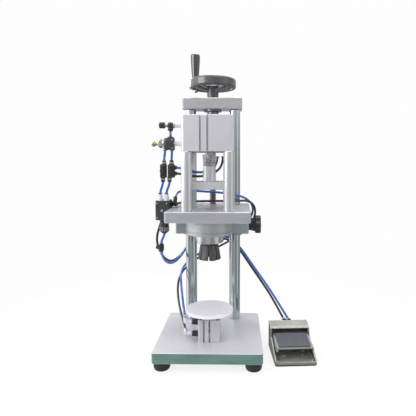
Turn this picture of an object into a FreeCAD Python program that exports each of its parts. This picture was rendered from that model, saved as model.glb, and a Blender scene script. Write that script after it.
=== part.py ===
import FreeCAD, Part

import math
import os

# Pneumatic bench capping machine. Millimetres, +Z up, +X to the right, front is -Y.
# The origin lies on the floor under the middle of the base plate.

# Base plate and its rubber feet
BASE_WIDTH = 250.0
BASE_DEPTH = 250.0
BASE_THICK = 25.0
BASE_CORNER = 6.0
BASE_EDGE = 2.0
FOOT_HEIGHT = 20.0
FOOT_TOP_RADIUS = 20.0
FOOT_SOLE_RADIUS = 11.0
FOOT_ROUND_HEIGHT = 10.0
FOOT_INSET = 20.5
FOOT_RECESS_RADIUS = 6.0
FOOT_RECESS_DEPTH = 8.0

# Guide posts and the plate on top of them
POST_RADIUS = 15.0
POST_SPACING = 118.0
POST_Y = 90.0
POST_LENGTH = 567.0
POST_CHAMFER = 1.5
TOP_PLATE_WIDTH = 158.0
TOP_PLATE_DEPTH = 62.0
TOP_PLATE_THICK = 28.0
PLATE_CORNER = 5.0
PLATE_EDGE = 1.2

# Lifting screw, its bearing and the handwheel
SCREW_RADIUS = 9.0
SCREW_LOW_END = 203.0
BEARING_RADIUS = 17.0
BEARING_FLANGE_RADIUS = 24.0
BEARING_FLANGE_THICK = 5.0
JOURNAL_RADIUS = 7.5
COLLAR_RADIUS = 16.0
COLLAR_THICK = 10.0
WHEEL_RADIUS = 62.5
WHEEL_RIM_HEIGHT = 24.0
WHEEL_RIM_WALL = 11.0
WHEEL_RIM_LOW = 668.0
WHEEL_HUB_RADIUS = 15.0
WHEEL_HUB_HEIGHT = 36.0
WHEEL_SPOKES = 3
WHEEL_SPOKE_WIDTH = 17.0
WHEEL_SPOKE_THICK = 10.0
WHEEL_SPOKE_ROOT_DROP = 9.0
WHEEL_SPOKE_RIM_RISE = 1.5
WHEEL_ANGLE = 90.0
HANDLE_ANGLE = 153.5
HANDLE_REACH = 55.0
HANDLE_LENGTH = 72.0
HANDLE_TOP_RADIUS = 13.5
HANDLE_LOW_RADIUS = 10.0
HANDLE_BOLT_RADIUS = 4.0
HANDLE_BOLT_HEAD_RADIUS = 6.0
HANDLE_BOLT_HEAD_THICK = 4.0
HANDLE_BOLT_SINK = 9.0
HANDLE_NUT_ACROSS = 13.0
HANDLE_NUT_THICK = 5.0
WHEEL_THREAD_RADIUS = 5.0
WHEEL_THREAD_LENGTH = 12.0
WHEEL_WASHER_RADIUS = 11.0
WHEEL_WASHER_THICK = 2.0
WHEEL_NUT_ACROSS = 17.0
WHEEL_NUT_THICK = 8.0

# Head: the carriage that slides on the posts
MID_PLATE_WIDTH = 196.0
MID_PLATE_FRONT = -108.0
MID_PLATE_REAR = 125.0
MID_PLATE_THICK = 25.0
MID_PLATE_LOW = 334.0
MID_PLATE_CORNER = 8.0
BLOCK_STEP = 1.0
BLOCK_DEPTH = 70.0
BLOCK_HEIGHT = 51.0
BUSH_WALL = 4.0
BUSH_FLANGE = 4.0
NUT_RADIUS = 14.0
NUT_FLANGE_RADIUS = 22.0
NUT_FLANGE_THICK = 8.0
AXIS_Y = -42.0
STANDOFF_RADIUS = 12.5
STANDOFF_LENGTH = 135.6
STANDOFF_PITCH = 96.0
STUD_RADIUS = 6.0
STUD_LENGTH = 12.0

# Head cylinder
CYL_WIDTH = 118.0
CYL_HEIGHT = 81.8
CYL_CORNER = 7.0
CYL_BORE_RADIUS = 50.0
CYL_END_WALL = 8.4
COVER_THICK = 14.0
COVER_RECESS = 3.4
SLOT_GROOVE_RADIUS = 3.2
SLOT_MOUTH = 4.0
SLOT_DEPTH = 4.4
SLOT_X = (-16.0, 0.5)
PISTON_THICK = 20.0
PISTON_TOP_GAP = 3.0
ROD_RADIUS = 10.0

# Crimping drive between the head cylinder and the collet
COUPLING_GAP = 9.0
COUPLING_RADIUS = 15.0
COUPLING_HEIGHT = 17.0
COUPLING_FLOOR = 4.0
JAM_NUT_ACROSS = 30.0
JAM_NUT_THICK = 10.0
DRIVE_SHAFT_RADIUS = 15.0
YOKE_LOW = 407.0
YOKE_THICK = 19.0
YOKE_WIDTH = 108.0
YOKE_DEPTH = 60.0
PUSH_ROD_RADIUS = 7.0
PUSH_ROD_REACH = 40.0
PUSH_SPIGOT_RADIUS = 5.0
PUSH_SPIGOT_LENGTH = 6.0

# Flange housing, closing sleeve and collet
HOUSING_RADIUS = 56.0
HOUSING_WALL = 7.5
HOUSING_HEIGHT = 33.3
HOUSING_LIP_THICK = 4.8
SLEEVE_RADIUS = 33.35
SLEEVE_BORE_RADIUS = 23.5
SLEEVE_LOW = 280.0
SLEEVE_FLANGE_RADIUS = 47.0
SLEEVE_FLANGE_THICK = 9.0
SLEEVE_NOTCHES = 8
NOTCH_DEPTH = 4.0
NOTCH_WIDTH = 6.0
NOTCH_HEIGHT = 7.0
JAW_COUNT = 8
JAW_PIVOT_RADIUS = 13.0
JAW_PIVOT_Z = 283.5
JAW_BEAD_RADIUS = 3.5
JAW_BEAD_GAP = 0.3
JAW_WEB_THICK = 4.4
JAW_TOP_RADIUS = 22.0
JAW_LOW_RADIUS = 27.35
JAW_LOW_Z = 240.0
JAW_BORE_RADIUS = 16.5
JAW_LIP_RADIUS = 12.6
JAW_CLOSE_DEG = 4.95
JAW_TOP_GAP = 0.4
CARRIER_RADIUS = 20.0
CARRIER_FOOT_RADIUS = 15.2

# Lifting cylinder and bottle platform
LIFT_WIDTH = 52.0
LIFT_HEIGHT = 53.0
LIFT_BORE_RADIUS = 20.0
LIFT_STROKE = 25.0
LIFT_PISTON_THICK = 10.0
LIFT_ROD_RADIUS = 8.0
LIFT_COVER_THICK = 8.0
LIFT_FLOOR = 8.0
PLATFORM_RADIUS = 57.0
PLATFORM_THICK = 7.0
PLATFORM_LOW = 112.0
PLATFORM_HUB_RADIUS = 15.0
PLATFORM_HUB_HEIGHT = 8.0

# Clamping knob on the right of the slide block
KNOB_RADIUS = 25.0
KNOB_HEAD_THICK = 15.0
KNOB_HUB_RADIUS = 20.0
KNOB_HUB_LENGTH = 17.5
KNOB_LOBES = 6
KNOB_Z = 304.0
KNOB_LOBE_RADIUS = 7.5
KNOB_LOBE_REACH = 29.0
KNOB_STUD_RADIUS = 5.0
KNOB_STUD_GAP = 2.0

# Screws, each a thread radius and a length below the head
POST_SCREW = (6.0, 36.0)
BASE_SCREW = (6.0, 32.0)
LIFT_SCREW = (2.5, 60.0)
BLOCK_SCREW = (4.0, 34.0)
HOUSING_SCREW = (2.0, 30.0)
CARRIER_SCREW = (5.0, 34.0)
SCREW_SINK = 2.0
LOW_SCREW_SINK = 1.0
BLOCK_SCREW_REACH = (30.0, 22.0)
LIFT_SCREW_INSET = 6.0
HOUSING_SCREWS = 4

# Fittings of the lifting cylinder: height and direction of each socket
LIFT_PORTS = ((85.0, (-0.2, 0.3, 0.93)), (56.0, (-0.2, 0.95, 0.2)))
LIFT_ELBOW_REACH = 32.0
LIFT_ELBOW_RADIUS = 5.5
LIFT_SOCKET = 13.0
LIFT_SLOT_X = (-12.0, 1.5)

# Pneumatics on the left of the head
TUBE_RADIUS = 3.0
COLLAR_LENGTH = 2.5
PORT_Z_HIGH = 558.0
PORT_Z_LOW = 515.0
NIPPLE_RADIUS = 6.0
PORT_NUT_ACROSS = 14.0
PORT_NUT_THICK = 8.0
PORT_HOLE_RADIUS = 4.0
REAR_ELBOW_X = (16.0, 30.0)
REAR_ELBOW_Z = 505.0
REAR_ELBOW_REACH = 13.0
REAR_ELBOW_RADIUS = 5.5
REAR_SOCKET = 19.0
ELBOW_X = -91.5
ELBOW_RADIUS = 6.8
ELBOW_DROP = 12.0
PORT_KNOB_RADIUS = 7.5
PORT_KNOB_LENGTH = 14.0
PORT_KNOB_START = 12.5
PORT_NECK_RADIUS = 4.5
INLET_X_LOW = -109.5
INLET_X_HIGH = -82.6
INLET_DEPTH = 22.0
INLET_LOW = 500.0
INLET_HIGH = 530.0
BLOCK_OUTLETS = (-105.0, -88.5)
OUTLET_RADIUS = 5.0
OUTLET_LENGTH = 6.0
PLUG_TIP_X = -136.0
FLOW_X = (-111.5, -92.0)
FLOW_Y = -34.0
FLOW_LOW = 426.0
FLOW_HIGH = 474.0
FLOW_WIDTH = 14.0
FLOW_DEPTH = 16.0
FLOW_SPIGOT = 9.0
FLOW_TOP_PORTS = (-109.0, -91.0)
FLOW_LOW_PORTS = (-112.0, -96.0)
NEEDLE_NECK_RADIUS = 3.0
NEEDLE_KNOB_RADIUS = 5.0
NEEDLE_KNOB_START = 11.0
NEEDLE_KNOB_LENGTH = 6.0
SIDE_PORT_X = -80.5
SIDE_PORT_Z = (458.0, 444.0)
SIDE_PORT_RADIUS = 4.6
VALVE_X_LOW = -131.0
VALVE_Y_LOW = -36.0
VALVE_Y_HIGH = 14.0
VALVE_LOW = 331.0
VALVE_HIGH = 378.0
VALVE_TOP_FITTING = 16.0
VALVE_TOP_PORTS = (-120.0, -105.0)
VALVE_TOP_Y = -28.0
VALVE_SIDE_PORTS = ((-8.0, 371.0, (0.0, 0.6, 0.8)), (6.0, 366.0, (0.0, 1.0, 0.0)))
VALVE_SIDE_REACH = 10.0
VALVE_SIDE_RADIUS = 5.0
VALVE_SOCKET = 14.0
VALVE_OUTLET_X = -124.0
VALVE_OUTLET_Y = 6.0
PORT_Y = -10.0
PILOT_RADIUS = 11.0
PILOT_LENGTH = 18.0
COUPLING_NUT_X = -114.0
COUPLING_NUT_RADIUS = 12.0
COUPLING_NUT_HEIGHT = 13.0
COUPLING_NUT_RIBS = 16
INLINE_X = -122.0
INLINE_LOW = 250.0
INLINE_HIGH = 270.0

# Foot pedal, in its own axes: x to its right, y to its back, z up
PEDAL_X = 199.85
PEDAL_Y = -31.05
PEDAL_YAW = 3.87
PEDAL_WIDTH = 98.0
PEDAL_LENGTH = 117.0
PEDAL_WALL = 3.5
PEDAL_CORNER = 6.0
PEDAL_FLOOR = 7.0
PEDAL_FRONT_HEIGHT = 11.0
PEDAL_LIP = 2.0
PEDAL_BACK_HEIGHT = 40.0
PEDAL_HOOD_HEIGHT = 66.0
PEDAL_HOOD_DROP = 5.0
PEDAL_HOOD_FRONT = 22.0
PEDAL_HOOD_WALL = 5.0
PEDAL_HOOD_LIP = 2.0
PEDAL_PIVOT_SPACE = 8.0
PEDAL_PIVOT_Y = 38.0
PEDAL_PIVOT_Z = 42.0
PEDAL_PIN_RADIUS = 3.0
PEDAL_PIN_SINK = 1.0
TREADLE_WIDTH = 87.0
TREADLE_THICK = 3.0
TREADLE_FLANGE = 12.0
TREADLE_FRONT_Y = -47.0
TREADLE_FRONT_Z = 38.0
PAD_THICK = 4.0
PAD_MARGIN = 5.0
PEDAL_SOLE = 3.0
PEDAL_SLOT_LENGTH = 6.0
PEDAL_SLOT_RADIUS = 2.5
PEDAL_SLOT_PLACES = ((-34.0, -8.0), (34.0, -8.0), (-34.0, -34.0), (34.0, -34.0))
PEDAL_PORTS = ((2.0, 66.0), (14.0, 66.0))
PEDAL_PORT_Z = 48.0
PEDAL_PORT_TURN = (-0.54, 0.28, 0.79)
PEDAL_PORT_RADIUS = 5.0
PEDAL_SOCKET = 18.0

# Clearances
RUN_GAP = 0.05
FIT_GAP = 0.03
PART_GAP = 0.3
OVERCUT = 1.0

# Places that follow from the sizes
BASE_TOP = FOOT_HEIGHT + BASE_THICK
POST_TOP = BASE_TOP + POST_LENGTH
TOP_PLATE_TOP = POST_TOP + TOP_PLATE_THICK
MID_PLATE_TOP = MID_PLATE_LOW + MID_PLATE_THICK
BLOCK_LOW = MID_PLATE_LOW - BLOCK_HEIGHT
BLOCK_FRONT = MID_PLATE_REAR - BLOCK_DEPTH
CYL_LOW = MID_PLATE_TOP + STANDOFF_LENGTH
CYL_TOP = CYL_LOW + CYL_HEIGHT
CYL_LEFT = -CYL_WIDTH / 2
CYL_REAR = AXIS_Y + CYL_WIDTH / 2
COVER_LOW = CYL_LOW + COVER_RECESS
COUPLING_LOW = COVER_LOW - COUPLING_GAP - JAM_NUT_THICK - COUPLING_HEIGHT
YOKE_TOP = YOKE_LOW + YOKE_THICK
SLEEVE_FLANGE_TOP = MID_PLATE_LOW - 2 * PART_GAP
SLEEVE_FLANGE_LOW = SLEEVE_FLANGE_TOP - SLEEVE_FLANGE_THICK
HOUSING_LOW = MID_PLATE_LOW - HOUSING_HEIGHT
LIFT_TOP = BASE_TOP + LIFT_HEIGHT
BLOCK_RIGHT = MID_PLATE_WIDTH / 2 - BLOCK_STEP
KNOB_STUD_LENGTH = BLOCK_RIGHT - POST_SPACING / 2 - POST_RADIUS - BUSH_WALL - KNOB_STUD_GAP
PLATE_LEFT = -MID_PLATE_WIDTH / 2
HUB_LOW = TOP_PLATE_TOP + PART_GAP
HUB_TOP = HUB_LOW + WHEEL_HUB_HEIGHT
HANDLE_LOW = WHEEL_RIM_LOW + WHEEL_RIM_HEIGHT + PART_GAP

X_AXIS = FreeCAD.Vector(1, 0, 0)
Y_AXIS = FreeCAD.Vector(0, 1, 0)
UP = FreeCAD.Vector(0, 0, 1)
DOWN = FreeCAD.Vector(0, 0, -1)
LEFT = FreeCAD.Vector(-1, 0, 0)
BACK = FreeCAD.Vector(0, 1, 0)
FRONT = FreeCAD.Vector(0, -1, 0)


def vec(x, y, z):
    return FreeCAD.Vector(x, y, z)


def unit(direction):
    """A direction of length one."""
    found = vec(*direction)
    found.normalize()
    return found


def cylinder(radius, length, start, axis=UP):
    return Part.makeCylinder(radius, length, start, axis)


def ring(outer, inner, length, start, axis=UP):
    """A round bush with a straight bore."""
    margin = axis * 1.0
    bore = cylinder(inner, length + 2.0, start - margin, axis)
    return cylinder(outer, length, start, axis).cut(bore)


def box(x_low, x_high, y_low, y_high, z_low, z_high):
    size = (x_high - x_low, y_high - y_low, z_high - z_low)
    return Part.makeBox(size[0], size[1], size[2], vec(x_low, y_low, z_low))


def upright_edges(shape):
    """Straight edges that run along Z."""
    found = []
    for edge in shape.Edges:
        low, high = edge.Vertexes[0].Point, edge.Vertexes[-1].Point
        if abs(high.z - low.z) > 1e-6 and abs(high.x - low.x) < 1e-6 and abs(high.y - low.y) < 1e-6:
            found.append(edge)
    return found


def rim_edges(shape, height):
    """Edges that lie wholly at one height."""
    found = []
    for edge in shape.Edges:
        bounds = edge.BoundBox
        if abs(bounds.ZMin - height) < 1e-4 and abs(bounds.ZMax - height) < 1e-4:
            found.append(edge)
    return found


def plate(x_low, x_high, y_low, y_high, z_low, z_high, corner, edge):
    """A machined plate: rounded upright corners and a small bevel round both faces."""
    body = box(x_low, x_high, y_low, y_high, z_low, z_high)
    body = body.makeFillet(corner, upright_edges(body))
    if edge > 0:
        body = body.makeChamfer(edge, rim_edges(body, z_high) + rim_edges(body, z_low))
    return body


def revolved(points, centre, closed_angle=360.0):
    """A turned part: points are (radius, height) in order round the section."""
    corners = [vec(centre.x + r, centre.y, z) for r, z in points]
    face = Part.Face(Part.makePolygon(corners + [corners[0]]))
    return face.revolve(centre, UP, closed_angle)


def hex_prism(across, thick, start, axis=UP):
    """A hexagon along an axis, with its across-flats size."""
    radius = across / math.sqrt(3)
    corners = []
    for step in range(6):
        angle = math.radians(60 * step + 30)
        corners.append(vec(radius * math.cos(angle), radius * math.sin(angle), 0))
    prism = Part.Face(Part.makePolygon(corners + [corners[0]])).extrude(vec(0, 0, thick))
    prism.Placement = FreeCAD.Placement(start, FreeCAD.Rotation(UP, axis))
    return prism


def fused(pieces):
    """One solid from touching pieces."""
    whole = pieces[0]
    for piece in pieces[1:]:
        whole = whole.fuse(piece)
    return whole.removeSplitter()


def cut_all(body, tools):
    """The body with every tool cut out of it."""
    for tool in tools:
        body = body.cut(tool)
    return body


def socket_screw(thread_radius, length, head_top, axis=DOWN):
    """A socket head screw whose head top lies at head_top and which points along axis."""
    head_radius = thread_radius * 1.5
    head_height = thread_radius * 2
    head = cylinder(head_radius, head_height, head_top, axis)
    socket = hex_prism(thread_radius * 1.6, thread_radius, head_top, axis)
    shank = cylinder(thread_radius, length, head_top + axis * head_height, axis)
    return fused([head, shank]).cut(socket)


def screw_hole(thread_radius, length, head_top, axis=DOWN, sink=1.0):
    """The counterbore and hole that a socket head screw sits in."""
    out = head_top - axis * sink
    pocket = cylinder(thread_radius * 1.5 + 0.5, thread_radius * 2 + sink, out, axis)
    hole = cylinder(thread_radius + RUN_GAP, length + thread_radius * 2 + sink + 1.0, out, axis)
    return pocket.fuse(hole)


def elbow(start, out_axis, out_length, turn_axis, turn_length, radius):
    """A swivel elbow: a nut and body along out_axis, then a socket along turn_axis."""
    corner = start + out_axis * out_length
    nut = hex_prism(radius * 2.2, out_length * 0.35, start, out_axis)
    body = cylinder(radius * 0.82, out_length, start, out_axis)
    knuckle = Part.makeSphere(radius, corner)
    socket = cylinder(radius, turn_length - COLLAR_LENGTH, corner, turn_axis)
    lip = cylinder(radius * 0.78, turn_length, corner, turn_axis)
    return fused([nut, body, knuckle, socket, lip])


def straight_fitting(start, axis, nut_length, length, radius):
    """A push-in fitting: hexagon nut, round body and a thin release collar."""
    nut = hex_prism(radius * 2.1, nut_length, start, axis)
    body = cylinder(radius, length - 3.0, start, axis)
    collar = cylinder(radius * 0.75, length, start, axis)
    return fused([nut, body, collar])


def tube(points, radius, label):
    """A bent tube: straight runs joined by tangent arcs as large as the runs allow."""
    corners = [vec(*p) for p in points]
    edges = []
    tightest = None
    at = corners[0]
    for i in range(1, len(corners) - 1):
        before = corners[i - 1] - corners[i]
        after = corners[i + 1] - corners[i]
        shorter = min(before.Length, after.Length)
        half_turn = (math.pi - before.getAngle(after)) / 2
        trim = 0.45 * shorter
        bend = trim / math.tan(half_turn)
        first = corners[i] + before * (trim / before.Length)
        last = corners[i] + after * (trim / after.Length)
        toward = (before * (1 / before.Length) + after * (1 / after.Length))
        toward.normalize()
        middle = corners[i] + toward * (bend / math.cos(half_turn) - bend)
        edges.append(Part.LineSegment(at, first).toShape())
        edges.append(Part.Arc(first, middle, last).toShape())
        at = last
        if tightest is None or bend < tightest:
            tightest = bend
    edges.append(Part.LineSegment(at, corners[-1]).toShape())
    path = Part.Wire(edges)
    profile = Part.Wire(Part.Circle(corners[0], corners[1] - corners[0], radius).toShape())
    solid = path.makePipeShell([profile], True, False)
    full = math.pi * radius ** 2 * path.Length
    bend_text = "straight" if tightest is None else "tightest radius %.1f" % tightest
    print("%s: length %.1f, %s, volume share %.4f" % (label, path.Length, bend_text, solid.Volume / full))
    return solid


def foot_centres():
    """Centres of the four feet under the plate."""
    reach_x = BASE_WIDTH / 2 - FOOT_INSET
    reach_y = BASE_DEPTH / 2 - FOOT_INSET
    return [vec(sx * reach_x, sy * reach_y, 0) for sx in (-1, 1) for sy in (-1, 1)]


def post_centres(z=0.0):
    """Left and right post axes."""
    return [vec(side * POST_SPACING / 2, POST_Y, z) for side in (-1, 1)]


def build_base_plate():
    body = box(-BASE_WIDTH / 2, BASE_WIDTH / 2, -BASE_DEPTH / 2, BASE_DEPTH / 2, FOOT_HEIGHT, BASE_TOP)
    body = body.makeFillet(BASE_CORNER, upright_edges(body))
    body = body.makeFillet(BASE_EDGE, rim_edges(body, BASE_TOP))
    body = body.makeChamfer(BASE_EDGE / 2, rim_edges(body, FOOT_HEIGHT))
    tools = [screw_hole(*POST_SCREW, c, UP) for c in post_centres(FOOT_HEIGHT + LOW_SCREW_SINK)]
    tools += [screw_hole(*LIFT_SCREW, c) for c in lift_screw_places()]
    return cut_all(body, tools)


def build_rubber_feet():
    """Moulded feet with a rounded lower half and a hollow for the screw."""
    side = FOOT_TOP_RADIUS - 0.8
    bend = math.radians(45)
    middle_r = FOOT_SOLE_RADIUS + (side - FOOT_SOLE_RADIUS) * math.sin(bend)
    middle_z = FOOT_ROUND_HEIGHT * (1 - math.cos(bend))
    feet = []
    for centre in foot_centres():
        def at(r, z):
            return vec(centre.x + r, centre.y, z)

        outline = [
            Part.LineSegment(at(0, FOOT_RECESS_DEPTH), at(FOOT_RECESS_RADIUS, FOOT_RECESS_DEPTH)),
            Part.LineSegment(at(FOOT_RECESS_RADIUS, FOOT_RECESS_DEPTH), at(FOOT_RECESS_RADIUS, 0)),
            Part.LineSegment(at(FOOT_RECESS_RADIUS, 0), at(FOOT_SOLE_RADIUS, 0)),
            Part.Arc(at(FOOT_SOLE_RADIUS, 0), at(middle_r, middle_z), at(side, FOOT_ROUND_HEIGHT)),
            Part.LineSegment(at(side, FOOT_ROUND_HEIGHT), at(FOOT_TOP_RADIUS, FOOT_HEIGHT)),
            Part.LineSegment(at(FOOT_TOP_RADIUS, FOOT_HEIGHT), at(0, FOOT_HEIGHT)),
            Part.LineSegment(at(0, FOOT_HEIGHT), at(0, FOOT_RECESS_DEPTH)),
        ]
        face = Part.Face(Part.Wire([line.toShape() for line in outline]))
        feet.append(face.revolve(centre, UP, 360.0))
    return feet


def build_post(centre):
    body = cylinder(POST_RADIUS, POST_LENGTH, centre)
    body = body.makeChamfer(POST_CHAMFER, rim_edges(body, POST_TOP) + rim_edges(body, BASE_TOP))
    radius, depth = POST_SCREW
    low = cylinder(radius + RUN_GAP, depth, centre)
    high = cylinder(radius + RUN_GAP, depth, vec(centre.x, centre.y, POST_TOP), DOWN)
    return cut_all(body, [low, high])


def build_top_plate():
    body = plate(
        -TOP_PLATE_WIDTH / 2, TOP_PLATE_WIDTH / 2,
        POST_Y - TOP_PLATE_DEPTH / 2, POST_Y + TOP_PLATE_DEPTH / 2,
        POST_TOP, TOP_PLATE_TOP, PLATE_CORNER, PLATE_EDGE,
    )
    tools = [screw_hole(*POST_SCREW, c) for c in post_centres(TOP_PLATE_TOP - LOW_SCREW_SINK)]
    bearing = vec(0, POST_Y, POST_TOP - OVERCUT)
    tools.append(cylinder(BEARING_RADIUS + FIT_GAP, TOP_PLATE_THICK + 2 * OVERCUT, bearing))
    return cut_all(body, tools)


def build_frame_screws():
    """Post screws from below and above, and the four that hold the lifting cylinder."""
    screws = [socket_screw(*BASE_SCREW, c, UP) for c in post_centres(FOOT_HEIGHT + LOW_SCREW_SINK)]
    screws += [socket_screw(*POST_SCREW, c) for c in post_centres(TOP_PLATE_TOP - LOW_SCREW_SINK)]
    screws += [socket_screw(*LIFT_SCREW, c) for c in lift_screw_places()]
    return screws


def build_screw_bearing():
    """Flanged bush in the top plate, with its flange on the underside."""
    flange = cylinder(BEARING_FLANGE_RADIUS, BEARING_FLANGE_THICK, vec(0, POST_Y, POST_TOP), DOWN)
    body = cylinder(BEARING_RADIUS, TOP_PLATE_THICK, vec(0, POST_Y, POST_TOP))
    start = vec(0, POST_Y, POST_TOP - BEARING_FLANGE_THICK - OVERCUT)
    bore = cylinder(JOURNAL_RADIUS + RUN_GAP, TOP_PLATE_THICK + BEARING_FLANGE_THICK + 2 * OVERCUT, start)
    return fused([flange, body]).cut(bore)


def build_lead_screw():
    """Screw with a thrust collar under its bearing and a journal up through the wheel hub."""
    axis = vec(0, POST_Y, 0)
    collar_top = POST_TOP - BEARING_FLANGE_THICK - PART_GAP
    thread_top = HUB_TOP + WHEEL_THREAD_LENGTH
    section = [
        (0, SCREW_LOW_END),
        (SCREW_RADIUS - 2.0, SCREW_LOW_END),
        (SCREW_RADIUS, SCREW_LOW_END + 2.0),
        (SCREW_RADIUS, collar_top - COLLAR_THICK),
        (COLLAR_RADIUS, collar_top - COLLAR_THICK),
        (COLLAR_RADIUS, collar_top),
        (JOURNAL_RADIUS, collar_top),
        (JOURNAL_RADIUS, HUB_TOP),
        (WHEEL_THREAD_RADIUS, HUB_TOP),
        (WHEEL_THREAD_RADIUS, thread_top),
        (0, thread_top),
    ]
    return revolved(section, axis)


def build_handwheel():
    """Deep rim on dished spokes that slope down to the hub."""
    axis = vec(0, POST_Y, 0)
    low, high = WHEEL_RIM_LOW, WHEEL_RIM_LOW + WHEEL_RIM_HEIGHT
    inner = WHEEL_RADIUS - WHEEL_RIM_WALL
    soft = WHEEL_RIM_WALL * 0.4
    rim = revolved([
        (inner + soft, low),
        (WHEEL_RADIUS - soft, low),
        (WHEEL_RADIUS - soft * 0.3, low + soft * 0.3),
        (WHEEL_RADIUS, low + soft),
        (WHEEL_RADIUS, high - soft),
        (WHEEL_RADIUS - soft * 0.3, high - soft * 0.3),
        (WHEEL_RADIUS - soft, high),
        (inner + soft, high),
        (inner + soft * 0.3, high - soft * 0.3),
        (inner, high - soft),
        (inner, low + soft),
        (inner + soft * 0.3, low + soft * 0.3),
    ], axis)
    hub = revolved([
        (0, HUB_LOW),
        (WHEEL_HUB_RADIUS - 1.0, HUB_LOW),
        (WHEEL_HUB_RADIUS, HUB_LOW + 1.0),
        (WHEEL_HUB_RADIUS + 2.5, HUB_TOP - 3.0),
        (WHEEL_HUB_RADIUS + 0.5, HUB_TOP),
        (0, HUB_TOP),
    ], axis)
    pieces = [rim, hub]
    hub_z = HUB_TOP - WHEEL_SPOKE_THICK - WHEEL_SPOKE_ROOT_DROP
    hub_high = hub_z + WHEEL_SPOKE_THICK
    rim_z = low + WHEEL_SPOKE_RIM_RISE
    reach = inner + WHEEL_RIM_WALL / 2
    root = WHEEL_HUB_RADIUS / 2
    for step in range(WHEEL_SPOKES):
        side = [
            vec(root, POST_Y, hub_z),
            vec(WHEEL_HUB_RADIUS, POST_Y, hub_z),
            vec(reach, POST_Y, rim_z),
            vec(reach, POST_Y, rim_z + WHEEL_SPOKE_THICK),
            vec(WHEEL_HUB_RADIUS, POST_Y, hub_high),
            vec(root, POST_Y, hub_high),
        ]
        spoke = Part.Face(Part.makePolygon(side + [side[0]])).extrude(vec(0, WHEEL_SPOKE_WIDTH, 0))
        spoke.translate(vec(0, -WHEEL_SPOKE_WIDTH / 2, 0))
        spoke = spoke.makeFillet(WHEEL_SPOKE_THICK * 0.35, long_edges(spoke, reach * 0.6))
        spoke.rotate(axis, UP, WHEEL_ANGLE + step * 360.0 / WHEEL_SPOKES)
        pieces.append(spoke)
    wheel = fused(pieces)
    bore_start = vec(0, POST_Y, HUB_LOW - OVERCUT)
    bore = cylinder(JOURNAL_RADIUS + FIT_GAP, WHEEL_HUB_HEIGHT + 2 * OVERCUT, bore_start)
    seat_start = handle_centre(low - OVERCUT)
    seat = cylinder(HANDLE_BOLT_RADIUS + FIT_GAP, WHEEL_RIM_HEIGHT + 2 * OVERCUT, seat_start)
    return cut_all(wheel, [bore, seat])


def long_edges(shape, least):
    """Edges at least as long as a length."""
    return [edge for edge in shape.Edges if edge.Length > least]


def handle_centre(z):
    angle = math.radians(HANDLE_ANGLE)
    reach_x = HANDLE_REACH * math.cos(angle)
    reach_y = HANDLE_REACH * math.sin(angle)
    return vec(reach_x, POST_Y + reach_y, z)


def build_wheel_fasteners():
    """Wheel nut with its washer, and the shoulder bolt that the handle turns on."""
    bore = WHEEL_THREAD_RADIUS + FIT_GAP
    washer = ring(WHEEL_WASHER_RADIUS, bore, WHEEL_WASHER_THICK, vec(0, POST_Y, HUB_TOP))
    nut_low = HUB_TOP + WHEEL_WASHER_THICK
    nut = hex_prism(WHEEL_NUT_ACROSS, WHEEL_NUT_THICK, vec(0, POST_Y, nut_low))
    nut = nut.cut(cylinder(bore, WHEEL_NUT_THICK + 2 * OVERCUT, vec(0, POST_Y, nut_low - OVERCUT)))
    head_low = HANDLE_LOW + HANDLE_LENGTH - HANDLE_BOLT_SINK
    shank_low = WHEEL_RIM_LOW - HANDLE_NUT_THICK
    shank = cylinder(HANDLE_BOLT_RADIUS, head_low - shank_low, handle_centre(shank_low))
    head = cylinder(HANDLE_BOLT_HEAD_RADIUS, HANDLE_BOLT_HEAD_THICK, handle_centre(head_low))
    foot = hex_prism(HANDLE_NUT_ACROSS, HANDLE_NUT_THICK, handle_centre(shank_low))
    return [washer, nut, fused([shank, head, foot])]


def build_handle_grip():
    """Turned grip: it swells from its foot to a flat top with the bolt head sunk in it."""
    top = HANDLE_LOW + HANDLE_LENGTH
    axis = handle_centre(0)
    wide = HANDLE_TOP_RADIUS
    slim = HANDLE_LOW_RADIUS
    bore = HANDLE_BOLT_RADIUS + RUN_GAP
    pocket = HANDLE_BOLT_HEAD_RADIUS + 0.5
    head_low = top - HANDLE_BOLT_SINK - PART_GAP
    return revolved([
        (bore, HANDLE_LOW),
        (slim - 1.0, HANDLE_LOW),
        (slim, HANDLE_LOW + 1.5),
        (slim + 0.4, HANDLE_LOW + HANDLE_LENGTH * 0.2),
        (wide - 1.2, HANDLE_LOW + HANDLE_LENGTH * 0.55),
        (wide - 0.2, HANDLE_LOW + HANDLE_LENGTH * 0.8),
        (wide, top - 5.0),
        (wide - 0.5, top - 1.5),
        (wide - 2.0, top),
        (pocket, top),
        (pocket, head_low),
        (bore, head_low),
    ], axis)


def standoff_centres(z):
    """The four columns that carry the head cylinder: front pair, then rear pair."""
    half = STANDOFF_PITCH / 2
    return [vec(sx * half, AXIS_Y + sy * half, z) for sy in (-1, 1) for sx in (-1, 1)]


def block_screw_places(z):
    """Screws that hang the slide block under the mid plate."""
    middle = BLOCK_FRONT + BLOCK_DEPTH / 2
    reach_x, reach_y = BLOCK_SCREW_REACH
    return [vec(sx * reach_x, middle + sy * reach_y, z) for sx in (-1, 1) for sy in (-1, 1)]


def housing_screw_places(z):
    """Screws down into the wall of the flange housing."""
    reach = HOUSING_RADIUS - HOUSING_WALL / 2
    places = []
    for step in range(HOUSING_SCREWS):
        angle = math.radians(360.0 / HOUSING_SCREWS * step)
        places.append(vec(reach * math.cos(angle), AXIS_Y + reach * math.sin(angle), z))
    return places


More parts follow.
